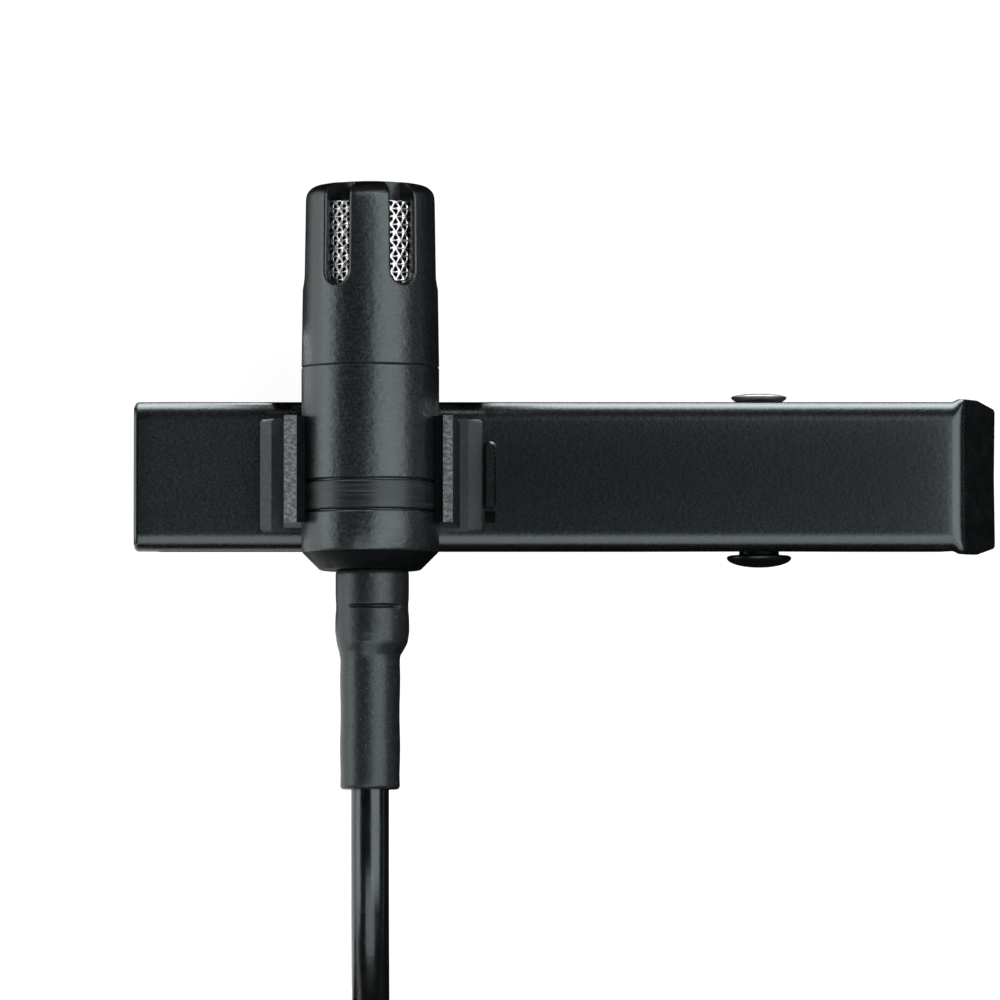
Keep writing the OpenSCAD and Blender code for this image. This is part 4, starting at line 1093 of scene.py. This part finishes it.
def ear_slope(base, ear_r, tailward):
    """Where an ear's slope leaves the flange's edge, and the (x, z) where it touches the ear."""
    corner, drop = ear_r + EAR_RUN[tailward], base - PIN[2]
    at = math.atan2(drop, -corner) + math.acos(ear_r / math.hypot(corner, drop))
    return corner, -ear_r * math.cos(at), PIN[2] + ear_r * math.sin(at)


def ear_edge(x, base, ear_r):
    """Lower edge of a flange that drops to a round ear of radius ear_r on the pin."""
    dx = x - PIN[0]
    corner, touch_x, touch_z = ear_slope(base, ear_r, dx > 0)
    if abs(dx) >= corner:
        return base
    if abs(dx) <= touch_x:
        return PIN[2] - math.sqrt(ear_r ** 2 - dx ** 2)
    return touch_z + (base - touch_z) * (abs(dx) - touch_x) / (corner - touch_x)


def ear_stations(base, ear_r):
    """Places along X where a flange's edge needs a ring of points."""
    out = [PIN[0]]
    for side in (-1, 1):
        corner, touch_x, _ = ear_slope(base, ear_r, side > 0)
        out += [PIN[0] + side * corner, *(PIN[0] + side * touch_x * k / 6 for k in range(1, 7))]
    return sorted(out)


def channel(half, lip, outer_r, wall, inner_r, inset=0.0, roll=1.5):
    """Section of folded sheet as (across, depth) pairs: lip is the flanges' depth from the face."""
    outer_r, inner_r = min(outer_r, lip), max(0.0, min(inner_r, lip - SHEET))
    face = half - roll * outer_r
    edge = [(roll * x, d) for x, d in arc((0, outer_r), outer_r - inset, 270, 360, 8)]
    out = [(-half + inset, lip)]
    out += [(-face - x, d) for x, d in reversed(edge)]
    out += [(face * k / 4, inset) for k in range(-3, 4)]
    out += [(face + x, d) for x, d in edge]
    out.append((half - inset, lip))
    inside = half - wall
    out.append((inside, lip))
    out += arc((inside - inner_r, SHEET + inner_r), inner_r, 360, 270, 6)
    out += [((inside - inner_r) * k / 4, SHEET) for k in range(3, -4, -1)]
    out += arc((-inside + inner_r, SHEET + inner_r), inner_r, 270, 180, 6)
    out.append((-inside, lip))
    return out


def rod(radius, ends, sides=48):
    """A plain round cutter between two points."""
    a, b = Vector(ends[0]), Vector(ends[1])
    bpy.ops.object.select_all(action="DESELECT")
    bpy.ops.mesh.primitive_cylinder_add(
        vertices=sides, radius=radius, depth=(b - a).length, location=(a + b) / 2,
        rotation=(b - a).to_track_quat("Z", "Y").to_euler()
    )
    return bpy.context.object


def pin_hole(radius):
    """A cutter for the hinge pin's hole."""
    return rod(radius, ((PIN[0], BAR_Y - 6, PIN[2]), (PIN[0], BAR_Y + 6, PIN[2])))


def toothed(x, root, top, teeth, half, base_half):
    """A toothed wall across the clip; the teeth point down where root is below top."""
    step = 2 * half / teeth / 2
    edge = [(i * step - half, root + (0.0 if i % 2 else -0.7)) for i in range(2 * teeth + 1)]
    outline = [(-base_half, top), *edge, (base_half, top)]
    return skin([[(x + d, BAR_Y + y, z) for y, z in outline] for d in (0.0, SHEET)])


def make_bar(sizes):
    """The front bar: folded sheet with ears, a bent end, a toothed tip and a pressed lug."""
    edge_r, inner_r, nose, lean = 0.8, 0.3, 0.3, 0.0576
    rings = []

    def level(x, lip, inset=0.0):
        """A ring at x; below the flanges the outer faces lean in."""
        rings.append([
            (
                x, BAR_Y + y * (
                    1 - lean * max(0.0, d - FLANGE_DEPTH) * (abs(y) > BAR_HALF - 0.01) / BAR_HALF
                ), CLIP_H - d
            ) for y, d in channel(BAR_HALF, lip, edge_r, SHEET, inner_r, inset)
        ])

    for dx in (0.0, 0.03, 0.09, 0.18, nose):
        level(TIP_X + dx, FLANGE_DEPTH, nose - math.sqrt(nose ** 2 - (nose - dx) ** 2))
    stations = [-24, -18, -12, -6, 0, *ear_stations(FLANGE_Z, BAR_EAR_R), FOLD_X - 0.7, FOLD_X - 0.35]
    for x in stations:
        level(x, CLIP_H - ear_edge(x, FLANGE_Z, BAR_EAR_R) - max(0.0, x - FOLD_X + 0.7))
    centre = Vector((FOLD_X, CLIP_H - FOLD_R))
    for k in range(FOLD_STEPS + 1):
        tilt = math.radians(TAB_TILT * k / FOLD_STEPS)
        out = Vector((math.sin(tilt), math.cos(tilt)))
        ease = climb(k / FOLD_STEPS)
        section = channel(
            BAR_HALF + TAB[0][1] * ease ** 2, edge_r - 0.3 * ease, edge_r - 0.62 * ease,
            SHEET - 0.38 * ease, inner_r * (1 - ease)
        )
        points = [(centre + out * (FOLD_R - d), y) for y, d in section]
        rings.append([(p.x, BAR_Y + y, p.y) for p, y in points])
    along = Vector((out.y, -out.x))
    root = centre + out * FOLD_R
    for s, wide in TAB:
        dish = 0.12 * climb((s - 2.3) / 0.9)
        section = channel(BAR_HALF + wide, SHEET, 0.18, 0.12, 0.0)
        points = [
            (root + along * (s - dish * (1 - (y / BAR_HALF) ** 2)) - out * d, y) for y, d in section
        ]
        rings.append([(p.x, BAR_Y + y, p.y) for p, y in points])
    bar = skin(rings)
    lip_half = BAR_HALF - nose - 0.05
    lip = toothed(TIP_X + 0.02, 5.2, CLIP_H - SHEET / 2, sizes.teeth, LEVER_HALF, lip_half)
    lug_x, lug_middles, lug_corner = -4.4, (0.05, 1.7), 0.3
    lug = skin([
        [(lug_x + x, BAR_Y + y, CLIP_H + z) for x, y in rounded(lug_middles, lug_corner - inset, 5)]
        for z, inset in ((-0.2, 0.0), (0.3, 0.0), (0.43, 0.14))
    ])
    combine(bar, [lip, lug], "UNION")
    x0, x1, y0, y1 = lug_x - 0.3, lug_x + 0.3, -1.85, -1.15
    slot = draw([(x0, y0, 5), (x1, y0, 5), (x1, y1, 5), (x0, y1, 5)], True)
    with editing(slot, None):
        bpy.ops.mesh.extrude_region_move(TRANSFORM_OT_translate={"value": (0, 0, 3)})
    close_up(slot)
    combine(bar, [pin_hole(1.07), slot])
    soft_edges(bar, 0.045, 2, 42)
    return place(bar, "clip_bar", "clip", ("front_bar",), finish("clip_paint"), 45, True)


def make_lever(sizes):
    """The lever: a channel with ears, a toothed jaw and a grooved thumb end."""
    tail_x, corner, lip_h = 24.4, 1.3, 1.0
    top = 2 * PIN[2]                    # the ears are drawn upside down, about the pin's height
    stations = [TIP_X, -18, -12, -6, 0, *ear_stations(top - lip_h, LEVER_EAR_R), 19.5]
    stations += [tail_x - 2.2, tail_x - 1.6]
    stations += [tail_x - corner + corner * math.sin(math.radians(a)) for a in range(0, 91, 10)]
    rings = []
    for x in stations:
        lip = top - ear_edge(x, top - lip_h, LEVER_EAR_R)
        lip = min(lip, max(SHEET, lip_h - (x - tail_x + 2.2) / 0.6 * 0.5))
        past = max(0.0, x - tail_x + corner)
        wide = LEVER_HALF - corner + math.sqrt(max(0.0, corner ** 2 - past ** 2))
        rings.append([(x, BAR_Y + y, d) for y, d in channel(wide, lip, 0.6, SHEET, 0.1)])
    lever = skin(rings)
    jaw = toothed(TIP_X + 0.02, 5.12, SHEET / 2, sizes.teeth, LEVER_HALF, LEVER_HALF - 0.02)
    combine(lever, [jaw], "UNION")
    grooves = [
        rod(0.22, ((tail_x - 2 - 1.1 * k, BAR_Y - 2.5, 0), (tail_x - 2 - 1.1 * k, BAR_Y + 2.5, 0)), 24)
        for k in range(4)
    ]
    combine(lever, [pin_hole(1.1), *grooves])
    soft_edges(lever, 0.04, 2, 42)
    return place(lever, "clip_lever", "lever", ("lever",), finish("clip_paint"), 45, True)


def make_holder(sizes):
    """The moulded holder that grips the microphone, and the rivet through its floor."""
    floor_h, half_y, wrap = 0.9, 3.1, 22           # the walls wrap this many degrees past halfway
    bore = sizes.body_diameter / MM / 2 + 0.03
    axis_h = floor_h + bore
    lip_x, lip_z = bore * math.cos(math.radians(wrap)), axis_h + bore * math.sin(math.radians(wrap))
    top = lip_z + 0.75
    side = [(5.2, 0.0), (5.2, 0.8), (5.14, 1.1), (5.1, 1.95), (5.04, 3.2), (4.98, top)]
    lead = [(lip_x + 0.5, top), (lip_x + 0.3, lip_z + 0.36), (lip_x + 0.1, lip_z + 0.1)]
    left = [*side, *lead]
    right = [*[(x - 0.18 * z / top, z) for x, z in side], *lead]
    round_bore = arc((0, axis_h), bore, wrap, wrap - 180 - 2 * wrap, 48)
    outline = [*right, *round_bore, *[(-x, z) for x, z in reversed(left)]]
    holder = skin([
        [(MIC[0] + x, BAR_Y + y, CLIP_H + z) for x, z in outline] for y in (-half_y, half_y)
    ])
    slab = skin([
        [
            (MIC[0] + x * (right_in if x > 0 else left_in), BAR_Y + y, CLIP_H + z)
            for x, y in rounded((6.25, 3.05), 0.25, 4)
        ]
        for z, right_in, left_in in (
            (0.0, 1.0, 1.0), (0.2, 1.0, 1.0), (0.28, 0.985, 0.988), (0.74, 0.878, 0.896)
        )
    ])
    combine(holder, [slab], "UNION")
    at = (MIC[0], BAR_Y)
    recess = rod(1.6, ((*at, CLIP_H + 0.4), (*at, CLIP_H + 3)))
    hole = rod(0.92, ((*at, CLIP_H - 1), (*at, CLIP_H + 1)))
    combine(holder, [recess, hole])
    soft_edges(holder, 0.07, 2, 35)
    for name in ("moulded_grey", "sawn_grey", "holder_dark"):
        holder.data.materials.append(finish(name))
    # The tops of the walls take the sawn finish; the lead-ins over the microphone and the flanks above the
    # slab take painted shade, a darker copy of the plastic
    for face in holder.data.polygons:
        out, height = abs(face.center.x - MIC[0]), face.center.z - CLIP_H
        sawn = face.normal.z > 0.9 and height > top - 0.1
        shaded_lead_in = out < lip_x + 0.5 and height > lip_z
        shaded_flank = out > 4.75 and height > 0.8 and abs(face.normal.x) > 0.9
        face.material_index = 1 if sawn else 2 * (shaded_lead_in or shaded_flank)
    place(holder, "mic_holder", "clip", ("holder",), None, 40, True)
    rivet = turned([
        (0, -0.84), (0.9, -0.84), (1.35, -0.76), (1.48, -0.62), (1.48, -0.52), (0.9, -0.52), (0.9, 0.42),
        (1.48, 0.42), (1.48, 0.55), (1.3, 0.66), (0.8, 0.71), (0, 0.72)
    ], (MIC[0], BAR_Y, CLIP_H), "Z", 64)
    place(rivet, "holder_stud", "clip", ("holder_rivet",), finish("rivet"))


def make_hinge(sizes):
    """The headed pin and the torsion spring wound round it."""
    dome = [(1.9 * math.sin(a), -4.6 - 0.565 * math.cos(a)) for a in map(math.radians, range(0, 91, 9))]
    lens = [
        (1.64 * math.sin(a), 4.84 + 0.21 * math.cos(a)) for a in map(math.radians, range(90, -1, -10))
    ]
    lens[-1] = (0, 5.05)
    pin = turned([
        *dome, (1.87, -4.53), (1.76, -4.48), (1.3, -4.45), (1.18, -4.41), (1.16, -4.2), (1.05, -4.2),
        (1.05, 4.2), (1.16, 4.2), (1.18, 4.48), (1.34, 4.56), (1.58, 4.72), *lens
    ], PIN, radius=0.0)
    for name in ("pin_black", "peened"):
        pin.data.materials.append(finish(name))
    for face in pin.data.polygons:
        face.material_index = int(face.center.y > BAR_Y + 4.45)
    place(pin, "hinge_stud", "clip", ("hinge_pin",))
    wire, radius, pitch, curls = sizes.spring_wire / MM, 1.75, 1.05, 4.5
    leg, foot, steps, gap = 7.6, 0.8, 16, 0.08     # a leg ends in a straight foot along its sheet
    half = curls * pitch / 2
    low, high = SHEET + wire / 2 + gap, CLIP_H - SHEET - wire / 2 - gap
    points = [(PIN[0] + leg + foot, BAR_Y - half, low), (PIN[0] + leg, BAR_Y - half, low)]
    points += [
        (PIN[0] + leg * k, BAR_Y - half, low + (PIN[2] - radius - low) * (1 - k) ** 2)
        for k in (0.75, 0.5, 0.25)
    ]
    for i in range(int(curls * steps) + 1):
        a = math.radians(-90 - 360 * i / steps)
        points.append((
            PIN[0] + radius * math.cos(a), BAR_Y - half + pitch * i / steps, PIN[2] + radius * math.sin(a)
        ))
    points += [
        (PIN[0] + leg * k, BAR_Y + half, high + (PIN[2] + radius - high) * (1 - k) ** 2)
        for k in (0.25, 0.5, 0.75)
    ]
    points += [(PIN[0] + leg, BAR_Y + half, high), (PIN[0] + leg + foot, BAR_Y + half, high)]
    spring = line_through(points, wire / 2, 4, 3)
    bpy.ops.object.convert(target="MESH")
    spring = close_up(bpy.context.object)
    place(spring, "hinge_spring", None, ("torsion_spring",), finish("steel"), 50)
    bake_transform(spring)


# ---- plug --------------------------------------------------------------------------------

def make_plug():
    """The plug's boot, barrel and gold contacts."""
    cable_r, small_r, large_r, cone, rib = 1.12, 1.6, 2.45, 8.0, 0.35
    ribs = []
    for k in range(1, 5):
        u = 1.5 * k
        low, high = [small_r + (large_r - small_r) * (u + side * rib) / cone for side in (-1, 1)]
        ribs += [(low, u - rib), (1.47, u - 0.3), (1.45, u), (1.47, u + 0.3), (high, u + rib)]
    boot = turned([
        (cable_r, 0), (small_r, 0), *ribs, (large_r, cone), (large_r, 9.0), (3.02, 9.0), (3.02, 9.8),
        (cable_r, 9.8)
    ], PLUG, radius=0.12)
    barrel = turned([
        (2.48, 8.4), (3.02, 8.4), (3.42, 8.72), (3.5, 9.1), (3.5, 9.9), (3.38, 10.0), (3.38, 10.25),
        (3.5, 10.35), (3.5, 18.3), (3.42, 18.85), (3.3, 19.0), (3.05, 19.0), (3.05, 8.97), (2.48, 8.97)
    ], PLUG, steps=128, radius=0.05)
    sleeve = turned([
        (1.22, 16.0), (3.02, 16.0), (3.02, 17.4), (2.45, 17.4), (2.45, 19.0), (2.1, 19.0),
        (2.1, 23.35), (1.95, 23.35), (1.95, 23.78), (2.1, 23.78), (2.1, 24.45), (2.02, 24.55),
        (1.75, 24.55), (1.75, 32.15), (1.22, 32.15)
    ], PLUG, radius=0.04)
    band = turned([(0.8, 32.55), (1.75, 32.55), (1.75, 34.35), (0.8, 34.35)], PLUG, radius=0.04)
    tip = turned([
        (0, 14.0), (0.45, 14.0), (0.45, 34.75), (1.75, 34.75), (1.75, 34.95), (1.6, 35.3),
        (1.3, 35.58), (1.25, 35.75), (1.3, 35.9), (1.55, 36.25), (1.69, 36.5), (1.7, 36.68),
        (1.62, 36.95), (1.2, 37.7), (0.76, 38.4), (0.6, 38.53), (0.35, 38.55), (0, 38.55)
    ], PLUG)
    place(boot, "plug_relief", "microphone", ("plug_boot",), finish("plug_rubber"))
    place(barrel, "plug_shell", "microphone", ("plug_barrel",), finish("nickel"))
    place(sleeve, "plug_ground", "microphone", ("plug_sleeve",), finish("gold"))
    place(band, "plug_band", "microphone", ("plug_ring",), finish("gold"))
    place(tip, "plug_point", "microphone", ("plug_tip",), finish("gold"))


def make_collar(sizes):
    """The locking collar: a grooved knurl and a cut thread."""
    n, pitch = 8 * sizes.knurls, sizes.thread_pitch / MM
    knurl_r, thread_r, thread_h = 3.4, 2.74, 0.26
    start, length, run_out = 23.8, 3.1, 6          # the thread fades out over the last few steps
    steps = int(length / pitch * 8)
    rings = []

    def ring(u, radius):
        rings.append([
            (PLUG[0] + radius(k) * math.sin(2 * math.pi * k / n), PLUG[1] + u,
             PLUG[2] + radius(k) * math.cos(2 * math.pi * k / n)) for k in range(n)
        ])

    def knurled(k, r, depth):
        """Radius of a ring with a groove in the middle of every eight corners."""
        return r - depth * max(0.0, 1 - abs((k % 8) - 4) / 2.2)

    for u, r, depth in (
        (19.15, 2.15, 0), (19.15, 3.05, 0), (19.2, 3.14, 0), (19.34, 3.36, 0), (19.42, knurl_r, 0),
        (19.6, knurl_r, 0), (19.8, knurl_r, 0.2), (23.0, knurl_r, 0.2), (23.2, knurl_r, 0),
        (23.38, knurl_r, 0), (23.47, 3.36, 0), (23.6, 3.16, 0), (23.65, 3.05, 0), (23.65, 2.72, 0)
    ):
        ring(u, lambda k, r=r, depth=depth: knurled(k, r, depth))
    for i in range(steps + 1):
        u = start + length * i / steps
        fade = min(1.0, i / run_out, (steps - i) / run_out)

        def thread(k, u=u, fade=fade):
            w = ((u / pitch) - k / n) % 1.0
            return thread_r + thread_h * fade * max(0.0, min(1.0, 1.6 * (1 - abs(2 * w - 1)) - 0.2))

        ring(u, thread)
    for u, r in (
        (27.0, 2.7), (27.05, 2.65), (27.05, 2.58), (27.0, 2.55), (23.2, 2.55), (23.2, 2.15), (19.15, 2.15)
    ):
        ring(u, lambda k, r=r: r)
    collar = skin(rings, False)
    place(collar, "lock_collar", "collar", ("locking_collar",), finish("nickel"), 35, True)


def dress_inside():
    """Gives the frame's own inner pieces their finishes."""
    for node, (name, slot) in CARRIED.items():
        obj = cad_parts[node]
        obj.data.materials.clear()
        obj.data.materials.append(finish(name))


# ---- operators ---------------------------------------------------------------------------

class LAVALIER_OT_stage(bpy.types.Operator):
    """Makes the camera, the floor, the lights and the dark surround."""
    bl_idname = "lavalier.stage"
    bl_label = "Stage"

    def execute(self, context):
        make_stage(context.scene.lavalier_stage)
        return {"FINISHED"}


class LAVALIER_OT_lead(bpy.types.Operator):
    """Lays the cable from the boot into its coil and on to the plug."""
    bl_idname = "lavalier.lead"
    bl_label = "Lead"

    def execute(self, context):
        make_lead()
        return {"FINISHED"}


class LAVALIER_OT_tie(bpy.types.Operator):
    """Wraps the strap round the coil."""
    bl_idname = "lavalier.tie"
    bl_label = "Coil strap"

    def execute(self, context):
        make_tie()
        return {"FINISHED"}


class LAVALIER_OT_cap(bpy.types.Operator):
    """Turns the cap and cuts its sound slots."""
    bl_idname = "lavalier.cap"
    bl_label = "Cap"

    def execute(self, context):
        make_cap(context.scene.lavalier_sizes)
        return {"FINISHED"}


class LAVALIER_OT_mesh(bpy.types.Operator):
    """Makes the wire mesh behind the slots and the felt that lines it."""
    bl_idname = "lavalier.mesh"
    bl_label = "Mesh and felt"

    def execute(self, context):
        make_mesh(context.scene.lavalier_sizes)
        make_felt()
        return {"FINISHED"}


class LAVALIER_OT_body(bpy.types.Operator):
    """Turns the barrel, the grooved ring and the rear bush."""
    bl_idname = "lavalier.body"
    bl_label = "Body"

    def execute(self, context):
        make_body(context.scene.lavalier_sizes)
        return {"FINISHED"}


class LAVALIER_OT_boot(bpy.types.Operator):
    """Makes the rubber boot behind the body."""
    bl_idname = "lavalier.boot"
    bl_label = "Strain boot"

    def execute(self, context):
        make_boot()
        return {"FINISHED"}


class LAVALIER_OT_bar(bpy.types.Operator):
    """Folds the clip's front bar."""
    bl_idname = "lavalier.bar"
    bl_label = "Front bar"

    def execute(self, context):
        make_bar(context.scene.lavalier_sizes)
        return {"FINISHED"}


class LAVALIER_OT_lever(bpy.types.Operator):
    """Folds the clip's lever."""
    bl_idname = "lavalier.lever"
    bl_label = "Lever"

    def execute(self, context):
        make_lever(context.scene.lavalier_sizes)
        return {"FINISHED"}


class LAVALIER_OT_holder(bpy.types.Operator):
    """Moulds the holder and sets its rivet."""
    bl_idname = "lavalier.holder"
    bl_label = "Holder"

    def execute(self, context):
        make_holder(context.scene.lavalier_sizes)
        return {"FINISHED"}


class LAVALIER_OT_hinge(bpy.types.Operator):
    """Makes the hinge pin and its spring."""
    bl_idname = "lavalier.hinge"
    bl_label = "Hinge"

    def execute(self, context):
        make_hinge(context.scene.lavalier_sizes)
        return {"FINISHED"}


class LAVALIER_OT_plug(bpy.types.Operator):
    """Makes the plug's boot, barrel and contacts."""
    bl_idname = "lavalier.plug"
    bl_label = "Plug"

    def execute(self, context):
        make_plug()
        return {"FINISHED"}


class LAVALIER_OT_collar(bpy.types.Operator):
    """Makes the knurled collar and its thread."""
    bl_idname = "lavalier.collar"
    bl_label = "Locking collar"

    def execute(self, context):
        make_collar(context.scene.lavalier_sizes)
        return {"FINISHED"}


class LAVALIER_OT_inside(bpy.types.Operator):
    """Finishes the pieces inside the microphone and the plug."""
    bl_idname = "lavalier.inside"
    bl_label = "Inner pieces"

    def execute(self, context):
        dress_inside()
        return {"FINISHED"}


class LAVALIER_PT_panel(bpy.types.Panel):
    bl_label = "Lavalier Microphone"
    bl_idname = "LAVALIER_PT_panel"
    bl_space_type = "VIEW_3D"
    bl_region_type = "UI"
    bl_category = "Lavalier"

    def draw(self, context):
        for group in GROUPS:
            box = self.layout.box()
            settings = getattr(context.scene, group)
            for name in settings.__annotations__:
                box.prop(settings, name)
        for each in OPERATORS:
            self.layout.operator(each.bl_idname)


GROUPS = {
    "lavalier_sizes": LavalierSizes,
    "lavalier_finishes": LavalierFinishes,
    "lavalier_stage": LavalierStage,
}
OPERATORS = (
    LAVALIER_OT_stage, LAVALIER_OT_tie, LAVALIER_OT_plug, LAVALIER_OT_collar, LAVALIER_OT_lead,
    LAVALIER_OT_cap, LAVALIER_OT_mesh, LAVALIER_OT_body, LAVALIER_OT_boot, LAVALIER_OT_bar,
    LAVALIER_OT_lever, LAVALIER_OT_holder, LAVALIER_OT_hinge, LAVALIER_OT_inside,
)


def register():
    for each in (*GROUPS.values(), *OPERATORS, LAVALIER_PT_panel):
        bpy.utils.register_class(each)
    for name, group in GROUPS.items():
        setattr(bpy.types.Scene, name, bpy.props.PointerProperty(type=group))


def unregister():
    for name in GROUPS:
        delattr(bpy.types.Scene, name)
    for each in reversed((*GROUPS.values(), *OPERATORS, LAVALIER_PT_panel)):
        bpy.utils.unregister_class(each)


def main():
    register()
    for each in OPERATORS:
        group, name = each.bl_idname.split(".")
        getattr(getattr(bpy.ops, group), name)()
    boxes = {"cad": FRAME_BOX, "visual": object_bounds()}
    {key: [list(corner) for corner in box] for key, box in boxes.items()}


if __name__ == "__main__":
    main()
